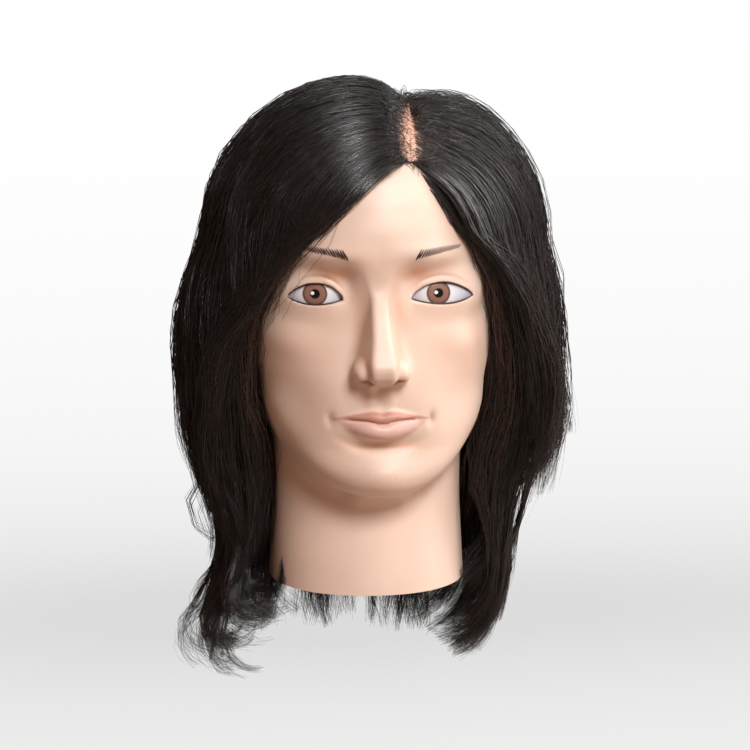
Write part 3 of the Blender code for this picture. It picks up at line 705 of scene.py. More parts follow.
def waved(paths, random, height, group):
    """Gentle waves across the strands, shared by a group of strands and growing towards the tips."""
    tangent = unit(np.gradient(paths, axis=1))
    outward = paths - SKULL_CENTRE
    outward[..., 2] = np.where(outward[..., 2] > 0, outward[..., 2], 0)
    outward = unit(outward)
    across = unit(np.cross(tangent, outward))
    steps = np.linalg.norm(np.diff(paths, axis=1), axis=2)
    length = np.pad(steps.cumsum(1), ((0, 0), (1, 0)))
    grow = smooth(length, 0.02, LONG_WAVE)
    groups = group.max() + 1
    for direction, size in ((across, 1.0), (outward, 0.45)):
        for wave in (LONG_WAVE, SHORT_WAVE):
            phase = random.uniform(0, 2 * math.pi, groups)[group]
            tall = height * size * random.uniform(0.3, 1.0, groups)[group] * wave / LONG_WAVE
            sway = tall[:, None] * grow * np.sin(length * 2 * math.pi / wave + phase[:, None])
            paths = paths + direction * sway[..., None]
    return paths


SLIGHT_TURN = 0.3


def curled(paths, turn, lateral, begin, span):
    """The strands bent towards the lateral directions: by turn, over a span of their length from begin before the
    tip on. Lengths stay. A slight bend is added to the strand's own course, and a strong one takes its place."""
    segments = np.diff(paths, axis=1)
    steps = np.linalg.norm(segments, axis=2)
    before_tip = steps[:, ::-1].cumsum(1)[:, ::-1] - steps / 2
    past = (begin[:, None] - before_tip) / span[:, None]
    bend = (turn[:, None] * np.clip(past, 0, 1))[..., None]
    index = np.clip((past <= 0).sum(1) - 1, 0, STRAND_POINTS - 2)
    ahead = unit(segments[np.arange(len(paths)), index])
    across = unit(lateral - (lateral * ahead).sum(-1)[:, None] * ahead)
    course = np.where((np.abs(turn) < SLIGHT_TURN)[:, None, None], unit(segments), ahead[:, None, :])
    turned = np.cos(bend) * course + np.sin(bend) * across[:, None, :]
    segments = np.where(past[..., None] > 0, turned * steps[..., None], segments)
    return np.concatenate([paths[:, :1], paths[:, :1] + segments.cumsum(1)], axis=1)


def clumped(paths, random, groups, pull):
    """Strands drawn to the nearest of a few leaders, more towards the tips. Returns each strand's leader too."""
    leaders = random.choice(len(paths), min(groups, len(paths)), replace=False)
    middle, tip = STRAND_POINTS // 2, -1
    place = np.concatenate([paths[:, middle], 1.2 * paths[:, tip]], axis=1)
    nearest = np.empty(len(paths), int)
    for first in range(0, len(paths), 2000):
        part = place[first : first + 2000]
        gap = ((part[:, None, :] - place[leaders][None]) ** 2).sum(-1)
        nearest[first : first + 2000] = gap.argmin(1)
    strength = (pull[:, None] * smooth(ALONG, 0.15, 1.0)[None, :])[..., None]
    return paths + strength * (paths[leaders[nearest]] - paths), nearest


# ---- thin tubes

HAIR_MIDDLE = np.array((0.0, 0.008, 0.150))
STRAND_SIDES = 3
PAINT_SIDES = 6


def tubes(name, paths, outward, thick, sides, finish):
    """Closed tubes along the paths, in one mesh. Thick is the radius at each point of each path."""
    count, steps = paths.shape[:2]
    tangent = unit(np.gradient(paths, axis=1))
    across = unit(np.cross(tangent, outward))
    upward = np.cross(across, tangent)
    thick = thick[:, :, None, None]
    turn = (2 * math.pi * np.arange(sides) / sides)[:, None]
    ring = paths[:, :, None, :] + thick * across[:, :, None, :] * np.cos(turn)
    ring = ring + thick * upward[:, :, None, :] * np.sin(turn)
    first = (np.arange(count) * steps * sides)[:, None, None]
    near = first + (np.arange(steps - 1) * sides)[None, :, None]
    side = np.arange(sides)[None, None, :]
    after = (side + 1) % sides
    quads = np.stack([near + side, near + after, near + sides + after, near + sides + side], -1)
    root_cap = first[:, 0] + side[0, :, ::-1]
    tip_cap = first[:, 0] + (steps - 1) * sides + side[0]
    loops = np.concatenate([quads.ravel(), root_cap.ravel(), tip_cap.ravel()]).astype(np.int32)
    sizes = np.repeat((4, sides), (quads.size // 4, 2 * count)).astype(np.int32)
    mesh = bpy.data.meshes.new(name)
    mesh.vertices.add(count * steps * sides)
    mesh.vertices.foreach_set("co", ring.reshape(-1).astype(np.float32))
    mesh.loops.add(len(loops))
    mesh.loops.foreach_set("vertex_index", loops)
    mesh.polygons.add(len(sizes))
    mesh.polygons.foreach_set("loop_start", np.concatenate([[0], sizes.cumsum()[:-1]]).astype(np.int32))
    mesh.update(calc_edges=True)
    mesh.shade_smooth()
    mesh.materials.append(finish)
    return added(name, mesh)


def strand_piece(name, paths, radius, tint, finish):
    """Strands of hair, tapered to their tips."""
    taper = np.minimum(1, 0.55 + ALONG * 4) * (1 - 0.75 * smooth(ALONG, 0.72, 1.0))
    item = tubes(name, paths, paths - HAIR_MIDDLE, radius[:, None] * taper, STRAND_SIDES, finish)
    set_attribute(item.data, "tint", np.repeat(tint, STRAND_POINTS * STRAND_SIDES))
    return item


# ---- materials

class Nodes:
    """A material's node tree, with short ways to add nodes."""

    def __init__(self, name):
        self.material = bpy.data.materials.new(name)
        self.material.use_nodes = True
        self.tree = self.material.node_tree
        self.shader = self.tree.nodes["Principled BSDF"]

    def add(self, kind, inputs=None, **settings):
        node = self.tree.nodes.new(kind)
        for name, value in settings.items():
            setattr(node, name, value)
        for name, value in (inputs or {}).items():
            self.put(node.inputs[name], value)
        return node

    def put(self, socket, value):
        if isinstance(value, bpy.types.NodeSocket):
            self.tree.links.new(value, socket)
        else:
            socket.default_value = value

    def set(self, **values):
        for name, value in values.items():
            self.put(self.shader.inputs[name.replace("_", " ")], value)

    def attribute(self, name):
        return self.add("ShaderNodeAttribute", attribute_name=name).outputs["Fac"]

    def where(self):
        return self.add("ShaderNodeTexCoord").outputs["Object"]

    def noise(self, scale, detail=3.0, roughness=0.5, vector=None):
        inputs = {"Vector": vector or self.where(), "Scale": scale, "Detail": detail, "Roughness": roughness}
        return self.add("ShaderNodeTexNoise", inputs).outputs["Fac"]

    def mix(self, share, a, b):
        node = self.add("ShaderNodeMix", data_type="RGBA")
        self.put(node.inputs["Factor"], share)
        self.put(node.inputs[6], a)
        self.put(node.inputs[7], b)
        return node.outputs[2]

    def math(self, operation, a, b):
        node = self.add("ShaderNodeMath", operation=operation)
        self.put(node.inputs[0], a)
        self.put(node.inputs[1], b)
        return node.outputs[0]

    def ramp(self, value, stops):
        node = self.add("ShaderNodeValToRGB", {"Fac": value})
        while len(node.color_ramp.elements) < len(stops):
            node.color_ramp.elements.new(0.5)
        for element, (at, colour) in zip(node.color_ramp.elements, stops, strict=True):
            element.position = at
            element.color = colour
        return node.outputs["Color"]

    def range(self, value, low, high, out_low, out_high):
        inputs = {"Value": value, "From Min": low, "From Max": high, "To Min": out_low, "To Max": out_high}
        return self.add("ShaderNodeMapRange", inputs).outputs["Result"]

    def varied(self, scale, low, high, detail=3.0):
        """A value that wanders between low and high."""
        return self.range(self.noise(scale, detail), 0.3, 0.7, low, high)

    def bump(self, height, strength, distance):
        inputs = {"Height": height, "Strength": strength, "Distance": distance}
        self.set(Normal=self.add("ShaderNodeBump", inputs).outputs["Normal"])


def colour(red, green, blue):
    """A linear colour from the 0 to 255 values it shows as."""
    parts = [c / 255 for c in (red, green, blue)]
    return (*[c / 12.92 if c <= 0.04045 else ((c + 0.055) / 1.055) ** 2.4 for c in parts], 1.0)


def vinyl_finish():
    n = Nodes("painted_vinyl")
    mottle = n.noise(28.0, 3.0)
    base = n.mix(n.range(mottle, 0.35, 0.65, 0, 1), colour(228, 200, 181), colour(232, 205, 187))
    # Blush on the cheeks, and painted shade in the inner eye sockets, under the lower lip and down the sides of
    # the nose
    base = n.mix(n.attribute("blush_and_shade"), base, colour(216, 160, 128))
    # Painted shade in the nostrils, along the line between the lips and at the mouth's corners
    base = n.mix(n.attribute("crevice_shade"), base, colour(150, 82, 58))
    speck = n.noise(420.0, 2.0)
    # Lip paint, with painted shade in the upper lip's darker colour and a painted highlight in the lower lip's
    # paler one
    lips = n.mix(n.range(speck, 0.3, 0.7, 0, 1), colour(196, 142, 126), colour(203, 150, 134))
    base = n.mix(n.attribute("lips"), base, lips)
    base = n.mix(n.attribute("lower_lip"), base, n.mix(speck, colour(222, 182, 168), colour(228, 190, 178)))
    holes = n.add("ShaderNodeTexVoronoi", {"Vector": n.where(), "Scale": 620.0}).outputs["Distance"]
    rooted = n.mix(n.range(holes, 0.18, 0.42, 0, 1), colour(48, 28, 22), colour(204, 160, 136))
    base = n.mix(n.attribute("scalp"), base, rooted)
    # Painted shade: the scalp under the hair is darkened to near black
    base = n.mix(n.attribute("shade_under_hair"), base, colour(26, 17, 14))
    n.set(Base_Color=base)
    n.set(Roughness=n.varied(90.0, 0.42, 0.50, 4.0))
    n.set(Subsurface_Weight=0.15, Subsurface_Scale=0.005, Specular_IOR_Level=0.50)
    n.shader.inputs["Subsurface Radius"].default_value = (1.0, 0.38, 0.22)
    n.bump(n.noise(900.0, 3.0), 0.10, 0.0004)
    return n.material


def eye_finish():
    """Painted eye: the rings are placed by the distance from the iris's middle, with a painted highlight by the
    pupil and the upper lid's painted shadow along the top.
    """
    n = Nodes("painted_eye")
    away = n.attribute("away")
    turn = n.attribute("turn")
    spokes = n.add("ShaderNodeCombineXYZ", {"X": turn, "Y": n.math("MULTIPLY", away, 120.0)}).outputs[0]
    fibre = n.noise(9.0, 4.0, 0.6, spokes)
    # The white turns grey-blue towards the eye's corners: painted shade
    white = n.mix(n.range(away, 0.0085, 0.0170, 0, 1), colour(228, 228, 234), colour(176, 176, 194))
    ring = n.range(away, IRIS_RADIUS * 0.80, IRIS_RADIUS * 0.96, 0, 1)
    iris = n.mix(n.range(fibre, 0.3, 0.7, 0, 1), colour(126, 90, 78), colour(160, 122, 106))
    iris = n.mix(ring, iris, colour(66, 42, 38))
    pupil = n.range(away, IRIS_RADIUS * 0.36, IRIS_RADIUS * 0.44, 0, 1)
    iris = n.mix(pupil, colour(14, 10, 10), iris)
    both = n.mix(n.range(away, IRIS_RADIUS * 0.96, IRIS_RADIUS * 1.06, 0, 1), iris, white)
    # Painted highlight: a white glint beside the pupil
    glint = n.range(n.attribute("glint"), 0.0008, 0.0012, 1, 0)
    both = n.mix(glint, both, colour(255, 255, 255))
    # Painted shadow of the upper lid on the ball
    shade = n.range(n.attribute("under_lid"), 0.0, 0.0024, 0.55, 0)
    both = n.mix(shade, both, colour(70, 48, 46))
    n.set(Base_Color=both)
    n.set(Roughness=n.varied(60.0, 0.30, 0.38), Specular_IOR_Level=0.35)
    return n.material


BROWN_FROM = 0.84


def hair_finish():
    n = Nodes("rooted_hair")
    tint = n.attribute("tint")
    blacks = (0.0, (0.0050, 0.0036, 0.0033, 1)), (0.50, (0.0080, 0.0060, 0.0056, 1))
    browns = (BROWN_FROM, (0.0400, 0.0300, 0.0270, 1)), (1.0, (0.0900, 0.0340, 0.0200, 1))
    n.set(Base_Color=n.ramp(tint, blacks + browns))
    dull = n.range(tint, 0.10, 0.70, 0.46, 0.20)
    n.set(Roughness=n.math("ADD", dull, n.varied(45.0, -0.03, 0.03, 2.0)))
    n.set(Specular_IOR_Level=0.85)
    return n.material


def paint_finish(name, scale, dark, light, roughness):
    n = Nodes(name)
    n.set(Base_Color=n.mix(n.noise(scale), dark, light), Roughness=roughness)
    return n.material


def moulded(name, dark, light, roughness, grain=700.0):
    """A moulded plastic or foam with a fine grain."""
    n = Nodes(name)
    n.set(Base_Color=n.mix(n.noise(grain / 8), dark, light))
    n.set(Roughness=n.varied(grain / 5, roughness - 0.06, roughness + 0.06))
    n.bump(n.noise(grain), 0.15, 0.0003)
    return n.material


def steel_finish():
    n = Nodes("screw_steel_finish")
    n.set(Base_Color=n.mix(n.noise(500.0), colour(150, 150, 152), colour(190, 190, 190)), Metallic=1.0)
    n.set(Roughness=n.varied(900.0, 0.24, 0.40))
    return n.material


# ---- the head

def make_skin():
    """The painted vinyl: a fine mesh where the face is, and at the bottom a rim turned inwards and up."""
    xs = spaced(-0.100, 0.100, -0.054, 0.054, 0.00095)
    ys = spaced(-0.118, 0.115, -0.112, -0.068, 0.0010)
    zs = spaced(-0.012, 0.296, 0.088, 0.192, 0.00095)
    points, faces = surface_nets(head, (xs, ys, zs))
    points = settled(head, points)
    item = new_piece("head_skin", points, faces, vinyl_finish())
    mesh = item.data
    work = bmesh.new()
    work.from_mesh(mesh)
    everything = work.verts[:] + work.edges[:] + work.faces[:]
    bmesh.ops.bisect_plane(work, geom=everything, plane_co=(0, 0, 0), plane_no=(0, 0, -1), clear_outer=True)
    rim = [edge for edge in work.edges if edge.is_boundary]
    for depth, lift in ((SKIN_THICKNESS, 0.0), (0.0, RIM_DEPTH)):
        grown_edges = bmesh.ops.extrude_edge_only(work, edges=rim)["geom"]
        for vert in [g for g in grown_edges if isinstance(g, bmesh.types.BMVert)]:
            inwards = Vector((vert.co.x, vert.co.y - SKULL_CENTRE[1], 0)).normalized()
            vert.co -= inwards * depth
            vert.co.z += lift
        rim = [g for g in grown_edges if isinstance(g, bmesh.types.BMEdge) and g.is_boundary]
    bmesh.ops.recalc_face_normals(work, faces=work.faces[:])
    work.to_mesh(mesh)
    work.free()
    mesh.set_sharp_from_angle(angle=math.radians(50))
    paint_skin(mesh)
    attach(item, "root")
    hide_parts("vinyl_skin")


def paint_skin(mesh):
    """Where the skin's paint goes, painted shade included, as numbers on its points."""
    p = points_of(mesh)
    q = leaned(p)
    x, y, z = q.T
    front = smooth(-y, 0.045, 0.060)
    top, line, bottom = lip_edges(x)
    into_lips = np.minimum(np.minimum(top - z, z - bottom), (MOUTH_HALF - np.abs(x)) * 0.5)
    lips = front * smooth(into_lips, -0.0004, 0.0007)
    set_attribute(mesh, "lips", lips * smooth(z - line, -0.0006, 0.0006))
    set_attribute(mesh, "lower_lip", lips * smooth(line - z, -0.0006, 0.0006))
    # Blush on the cheeks; painted shade in the inner eye sockets (socket), under the lower lip (beneath) and down
    # the sides of the nose
    cheek = swelling(q, (0.050, 0.143), (0.018, 0.022), 0.18)
    socket = swelling(q, (0.0230, 0.1895), (0.0100, 0.0042), 0.80)
    beneath = swelling(q, (0, MOUTH_Z - 1.36 * LOWER_LIP), (0.020, 0.0026), 0.70)
    nose_side_shade = 0.42 * bell(np.abs(x), 0.0105, 0.0042) * smooth(z, 0.132, 0.142)
    nose_side_shade *= 1 - smooth(z, 0.172, 0.188)
    set_attribute(mesh, "blush_and_shade", front * np.maximum.reduce([cheek, socket, beneath, nose_side_shade]))
    # Painted shade in the nostrils, in the line between the lips and at the corners of the mouth
    nostril_shade = 0.85 * np.exp(-np.maximum(nostrils(q), 0) / 0.0012)
    lip_seam_shade = 0.75 * bell(z, line, 0.0007) * smooth(MOUTH_HALF - np.abs(x), -0.001, 0.002)
    mouth_corner_shade = swelling(q, (0.0290, MOUTH_Z), (0.0012, 0.0026), 0.45)
    set_attribute(mesh, "crevice_shade", front * np.maximum.reduce([nostril_shade, lip_seam_shade, mouth_corner_shade]))
    azimuth, row = address(p)
    edge_left, edge_right = face_edge(row, -1), face_edge(row, 1)
    outside = np.maximum(edge_left - azimuth, azimuth - edge_right)
    rooted = smooth(outside, math.radians(1.0), math.radians(6)) * smooth(1.62 - row, 0, 0.08)
    from_parting = np.abs(p[:, 0] - parting_x(np.clip(p[:, 1], PARTING_FRONT_Y, PARTING_BACK_Y)))
    strip = 1 - smooth(from_parting, 0.0055, 0.0095)
    strip *= smooth(PARTING_END_ROW + 0.015 - row, 0, 0.02) * smooth(0.030 - p[:, 1], 0, 0.01)
    set_attribute(mesh, "scalp", np.maximum(strip, rooted))
    # Painted shade under the hair, away from the parting
    set_attribute(mesh, "shade_under_hair", rooted * (1 - strip))


FORWARDS = np.array((0.0, -1.0, 0.0))


def skin_front(x, z, lift):
    """Points on the front of the skin, seen from in front, raised by lift."""
    origins = np.stack([x, np.full_like(x, -0.040), z], -1)
    far = first_crossing(head, origins, FORWARDS, 0.0, 0.0015, 50)
    return origins + (far + lift)[:, None] * FORWARDS


PAINT_LIFT = 0.00022


def make_eyes():
    """The painted balls that show between the lids."""
    finish = eye_finish()
    across, down = 90, 46
    under_corner, under_lid = 0.0006, 0.0007
    thick = 0.0008
    for side, hand in ((-1, "left"), (1, "right")):
        share = np.linspace(0, 1, across)
        along = EYE_INNER - under_corner + (EYE_OUTER - EYE_INNER + 2 * under_corner) * share
        upper, lower = lid_lines(np.clip(along, EYE_INNER, EYE_OUTER))
        v = np.linspace(0, 1, down)[:, None]
        z = (lower - under_lid) + (upper - lower + 2 * under_lid) * v
        along = np.tile(along, (down, 1))
        y = eye_front(along, z, PAINT_LIFT)
        points = np.stack([from_eye_space(along, side), y, z], -1).reshape(-1, 3)
        index = np.arange(across * down).reshape(down, across)
        quads = np.stack([index[:-1, :-1], index[:-1, 1:], index[1:, 1:], index[1:, :-1]], -1).reshape(-1, 4)
        back = points + np.array((0, thick, 0))
        count = len(points)
        faces = list(quads if side > 0 else quads[:, ::-1])
        faces += [face[::-1] + count for face in faces]
        border = list(index[0, :]) + list(index[1:, -1]) + list(index[-1, -2::-1]) + list(index[-2:0:-1, 0])
        for a, b in zip(border, border[1:] + border[:1], strict=True):
            wall = [a, a + count, b + count, b]
            faces.append(wall if side > 0 else wall[::-1])
        item = new_piece(f"eye_paint_{hand}", np.concatenate([points, back]), faces, finish)
        mesh = item.data
        p = points_of(mesh)
        dx, dz = p[:, 0] - side * IRIS_X, p[:, 2] - EYE[2]
        set_attribute(mesh, "away", np.hypot(dx, dz))
        set_attribute(mesh, "turn", np.arctan2(dz, dx) * 1.5)
        # Where the painted highlight sits
        set_attribute(mesh, "glint", np.hypot(dx + 0.0014, dz - 0.0004))
        # How far below the upper lid's line each point lies, for the lid's painted shadow
        top = lid_lines(eye_space(p)[:, 0])[0]
        set_attribute(mesh, "under_lid", np.clip(top - p[:, 2], 0, 1))
        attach(item, "root")


def make_lash_lines():
    """Dark painted lines along the lid edges."""
    paths, radius = [], []
    share = np.linspace(0.0, 1.0, 40)
    for side in (-1, 1):
        for above, thick in ((True, 0.00054), (False, 0.00052)):
            along = EYE_INNER - 0.0002 + (EYE_OUTER - EYE_INNER + (0.0020 if above else 0.0002)) * share
            upper, lower = lid_lines(along)
            z = (upper + 0.0001 if above else lower + 0.0004) - 0.4 * np.maximum(along - EYE_OUTER, 0)
            y = eye_front(along, z, 0.0014)
            paths.append(np.stack([from_eye_space(along, side), y, z], -1))
            radius.append(thick * (0.35 + 0.65 * np.sin(math.pi * np.clip(share, 0.02, 0.98)) ** 0.5))
    finish = paint_finish("lash_paint", 200.0, colour(44, 26, 22), colour(80, 50, 42), 0.4)
    item = tubes("lash_lines", np.array(paths), FORWARDS, np.array(radius), PAINT_SIDES, finish)
    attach(item, "root")


def make_brows(random):
    """Short slanted strokes of paint, side by side in a band that thins out towards the temple."""
    paths, radius = [], []
    strokes = 17
    lift = 0.00020
    for side, inner in ((-1, 0.0190), (1, 0.0222)):
        along = np.arange(strokes) / (strokes - 1) + random.normal(0, 0.004, strokes)
        middle_x = inner + 0.0250 * along
        middle_z = 0.2008 + 0.0050 * along - 0.0014 * along**2
        long = (0.0066 - 0.0030 * along) * random.uniform(0.88, 1.08, strokes)
        lean = math.radians(62) - np.radians(14) * along + random.normal(0, 0.03, strokes)
        weight = 0.00052 - 0.00024 * along
        for a, b, size, turn, thick in zip(middle_x, middle_z, long, lean, weight, strict=True):
            t = np.linspace(-0.5, 0.5, 6)
            x = a + size * t * math.cos(turn)
            z = b + size * t * math.sin(turn)
            paths.append(skin_front(side * x, z, lift))
            radius.append(thick * np.array((0.4, 0.9, 1.0, 0.9, 0.6, 0.25)))
    finish = paint_finish("brow_paint", 300.0, colour(38, 23, 18), colour(60, 38, 30), 0.6)
    item = tubes("brow_strokes", np.array(paths), FORWARDS, np.array(radius), PAINT_SIDES, finish)
    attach(item, "root")


# ---- the hair

# Strands on each side of the parting, by where they root; the loose ones hang over the face
AT_PARTING = 5400
AT_CROWN = 3400
ELSEWHERE = 6400
LOOSE = 170
FLYAWAY_SHARE = 0.022

# The cut and curl of each side: which tips are low, where the short layer starts, and ranges for the bends
STYLES = {
    -1: {"low": -0.030, "short_from": 0.66, "flare": (0.15, 0.70), "flick": (-0.15, 0.12),
         "hook": (1.6, 3.4), "hook_radius": (0.012, 0.024)},
    1: {"low": 0.016, "short_from": 0.64, "flare": (-0.10, 0.15), "flick": (-0.12, 0.20),
        "hook": (0.8, 1.5), "hook_radius": (0.036, 0.056)},
}
NAPE_CUT_DEGREES = 128
NAPE_LOCK_DEGREES = 140


def hairline_row(azimuth):
    turn = np.abs(azimuth)
    return np.interp(turn, (0.0, 0.9, 1.5, 2.2, math.pi), (0.66, 0.98, 1.15, 1.55, 1.68))


def tip_heights(random, side, azimuth, share):
    """Heights where strands end: a layered cut, the outer strands the shortest."""
    count = len(share)
    turn = np.abs(np.degrees(azimuth))
    chance = random.uniform(size=count)
    if side < 0:
        short = random.uniform(0.005, 0.160, count)
        loops = random.uniform(-0.076, -0.036, count)
        long = np.where(chance < 0.50, loops, random.uniform(-0.018, 0.030, count))
    else:
        short = 0.045 + 0.085 * random.beta(1.2, 1.8, count)
        long = -0.070 + 0.064 * random.beta(1.3, 1.5, count)
    nape_cut = turn > NAPE_CUT_DEGREES
    short = np.where(nape_cut, 0.09 * random.beta(1.2, 2.2, count), short)
    nape_low, nape_high = random.uniform(-0.068, -0.024, count), random.uniform(-0.024, 0.010, count)
    nape = np.where(chance < 0.75, nape_low, nape_high)
    long = np.where(nape_cut, nape, long)
    layer = share + random.normal(0, 0.12, count)
    return np.where(layer > STYLES[side]["short_from"], short, long)


def unkinked(paths):
    """Which strands have no sharp corner."""
    step = unit(np.diff(paths, axis=1))
    return (step[:, 1:] * step[:, :-1]).sum(-1).min(1) > 0.2


def grow_side(random, side):
    """All strands of one side of the parting: their paths, and the share of the thickness they lie at."""
    y = random.uniform(PARTING_FRONT_Y, PARTING_BACK_Y + 0.012, AT_PARTING)
    x = parting_x(y) + side * (bare_half(y) + 0.0100 * random.beta(1.2, 1.9, AT_PARTING))
    azimuth, row = address(dome_points(x, y, 0.0004))
    beside = azimuth, np.minimum(row, PARTING_END_ROW), 1 - 0.42 * random.beta(1.4, 1.6, AT_PARTING)
    azimuth = np.radians(random.uniform(60 if side > 0 else 40, 180, AT_CROWN)) * side
    crown = azimuth, random.uniform(0.03, 0.34, AT_CROWN), 1 - 0.45 * random.beta(1.3, 1.5, AT_CROWN)
    azimuth = side * np.radians(random.uniform(8, 180, ELSEWHERE))
    row = random.uniform(0.22, 1.0, ELSEWHERE) ** 0.8 * hairline_row(azimuth)
    others = azimuth, row, 0.02 + 0.62 * random.beta(1.2, 1.3, ELSEWHERE)
    row = random.uniform(0.40, PARTING_END_ROW, LOOSE)
    loose = parting_azimuth(row), row, random.uniform(0.05, 0.5, LOOSE)
    azimuth, row, share = np.concatenate([beside, crown, others, loose], axis=1)
    count = len(row)
    stray = np.arange(count) >= count - LOOSE
    offset = np.radians(random.exponential(2.2, count))
    offset = np.where(stray, -np.radians(random.gamma(2.0, 1.3, count)), offset)
    edge = side * face_edge(row, side)
    azimuth = side * np.maximum(side * azimuth, edge + np.radians(1.5))
    share = np.where(random.uniform(size=count) < FLYAWAY_SHARE, random.uniform(1.03, 1.10, count), share)
    rise = random.uniform(0.012, 0.030, count)
    tips = tip_heights(random, side, azimuth, share)
    tips = np.where(stray, random.uniform(0.03, 0.17, count), tips)
    tip_row = 1 + (SKULL_CENTRE[2] - tips) / HAIR_LENGTH
    tip_row = np.maximum(tip_row, row + 0.15)
    paths = grown(azimuth, row, side, offset, share, rise, tip_row)
    good = unkinked(paths)
    return paths[good], share[good], tips[good], stray[good]


def clear_of_head(paths):
    """The strands with every point that lies in the head or neck moved out of it."""
    clearance = 0.0010 * smooth(ALONG, 0.03, 0.10) - 0.004 * (1 - smooth(ALONG, 0.03, 0.10))
    points = paths.reshape(-1, 3)
    for _ in range(3):
        away = points - SKULL_CENTRE
        away[:, 2] = np.maximum(away[:, 2], 0)
        depth = np.tile(clearance, len(paths)) - plain_head(points)
        points = points + unit(away) * np.clip(depth, 0, 0.02)[:, None]
    return points.reshape(paths.shape)


LOCKS = 320
LOW_LOCKS = 84
LOCK_WAVE = 0.0075
FLARE_LENGTH = 0.030
LONGEST_HOOK = 0.062


def style(random, paths, share, tips, stray, side):
    """Locks, waves, flicks and curls. Returns each strand's lock too."""
    count = len(paths)
    own = STYLES[side]
    low = tips < own["low"]
    pull = np.where(stray, 0.0, random.uniform(0.25, 0.85, count))
    paths, lock = clumped(paths, random, LOCKS, pull)
    nape = np.abs(np.degrees(address(paths[:, -1])[0])) > NAPE_LOCK_DEGREES
    deep_pull = random.uniform(0.70, 0.94, count) * np.where(nape, 0.55, 1.0)
    deep, deep_lock = clumped(paths, random, LOW_LOCKS, deep_pull)
    paths = np.where(low[:, None, None], deep, paths)
    lock = np.where(low, deep_lock, lock)
    paths = waved(paths, random, LOCK_WAVE, lock)
    paths = waved(paths, random, np.where(stray | (share > 1), 0.0030, 0.0008), np.arange(count))
    outward = paths[:, -1] - SKULL_CENTRE
    outward[:, 2] = 0
    outward = unit(outward)
    aside = np.stack([-outward[:, 1], outward[:, 0], np.zeros(count)], -1)
    aside = aside * random.normal(0, 0.40, count)[lock][:, None]
    flare, flick = random.uniform(*own["flare"], count), random.uniform(*own["flick"], count)
    turn = np.where(low, flare[lock], flick[lock])
    hook = random.uniform(*own["hook"], count)[lock] * random.uniform(0.92, 1.08, count)
    hook = np.where(nape, 0.25 * hook, hook)
    hook_length = np.minimum(hook * random.uniform(*own["hook_radius"], count)[lock], LONGEST_HOOK)
    begin = np.where(low, FLARE_LENGTH + hook_length, random.uniform(0.04, 0.08, count))
    paths = curled(paths, turn, outward + aside, begin, np.where(low, FLARE_LENGTH, begin))
    return curled(paths, np.where(low, hook, 0.0), aside - outward, hook_length, hook_length), lock


def section_of(paths, share):
    """The name of the CAD hair section that each strand stands for, by where it is two fifths of the way on."""
    azimuth, row = address(paths[:, STRAND_POINTS * 2 // 5])
    turn = np.abs(np.degrees(azimuth))
    side = np.where(paths[:, -1, 0] < 0, "left", "right")
    place = np.where(turn < 100, "side", np.where(turn < 140, "back_side", "back_middle"))
    layer = np.where(share > 0.56, "upper", "under")
    fringe = (turn < 50) & (row < 1.15) & (share > 0.3)
    names = [
        f"fringe_{hand}" if in_front else f"{level}_{part}_{hand}"
        for in_front, level, part, hand in zip(fringe, layer, place, side, strict=True)
    ]
    return np.array(names, dtype=object)


MOST_STRANDS = 1720


def make_hair(random):
    finish = hair_finish()
    sets = []
    for side in (-1, 1):
        paths, share, tips, stray = grow_side(random, side)
        paths, lock = style(random, paths, share, tips, stray, side)
        paths = clear_of_head(paths)
        sheen = random.beta(1.1, 1.5, lock.max() + 1)[lock]
        sets.append((paths, share, section_of(paths, share), stray, sheen))
    paths, share, names, stray, sheen = (np.concatenate([one[k] for one in sets]) for k in range(5))
    names[(address(paths[:, 0])[1] < 0.22) & (share > 0.9)] = "crown"
    for name in sorted(set(names)):
        chosen = np.flatnonzero(names == name)
        if len(chosen) > MOST_STRANDS:
            chosen = np.sort(random.choice(chosen, MOST_STRANDS, replace=False))
        count = len(chosen)
        tint = BROWN_FROM * np.clip(0.5 * sheen[chosen] + 0.7 * random.beta(0.8, 1.6, count), 0, 1)
        brown = (random.uniform(size=count) < 0.004) | stray[chosen]
        tint = np.where(brown, random.uniform(0.85, 1.0, count), tint)
        radius = random.uniform(0.00013, 0.00026, count) * np.where(stray[chosen], 0.6, 1.0)
        item = strand_piece(f"strands_{name}", paths[chosen], radius, tint, finish)
        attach(item, "root")
        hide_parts(f"hair_{name}")
    make_stubble(random, finish)


def make_stubble(random, finish):
    """Short broken hairs that soften the edges of the parting."""
    count = 1300
    y = random.uniform(PARTING_FRONT_Y + 0.006, PARTING_BACK_Y, count)
    away = random.choice((-1, 1), count) * (bare_half(y) + random.normal(0, 0.0026, count))
    roots = dome_points(np.full(count, 0.02), y, 0.0)
    roots[:, 0] = parting_x(y) + away
    azimuth, row = address(roots)
    row = np.minimum(row, PARTING_END_ROW - 0.005)
    base = placed(azimuth, row, np.full(count, -0.02))
    size = random.uniform(0.004, 0.0120, count)
    turn = np.where(away > 0, 0.0, math.pi) + random.normal(0, 0.9, count)
    reach = np.stack([np.cos(turn), np.sin(turn), np.zeros(count)], -1)
    normal = unit(base - SKULL_CENTRE)
    reach = unit(reach - (reach * normal).sum(-1)[:, None] * normal)
    lift = random.uniform(0.15, 0.5, count)
    paths = base[:, None] + (size[:, None] * ALONG)[..., None] * reach[:, None]
    arch = size[:, None] * lift[:, None] * np.sin(0.6 * math.pi * ALONG)
    paths = paths + arch[..., None] * normal[:, None]
    tint = np.clip(random.beta(1.6, 1.6, count), 0, 0.9)
    item = strand_piece("parting_stubble", paths, random.uniform(0.00008, 0.00016, count), tint, finish)
    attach(item, "root")


# ---- CAD nodes that show as they are

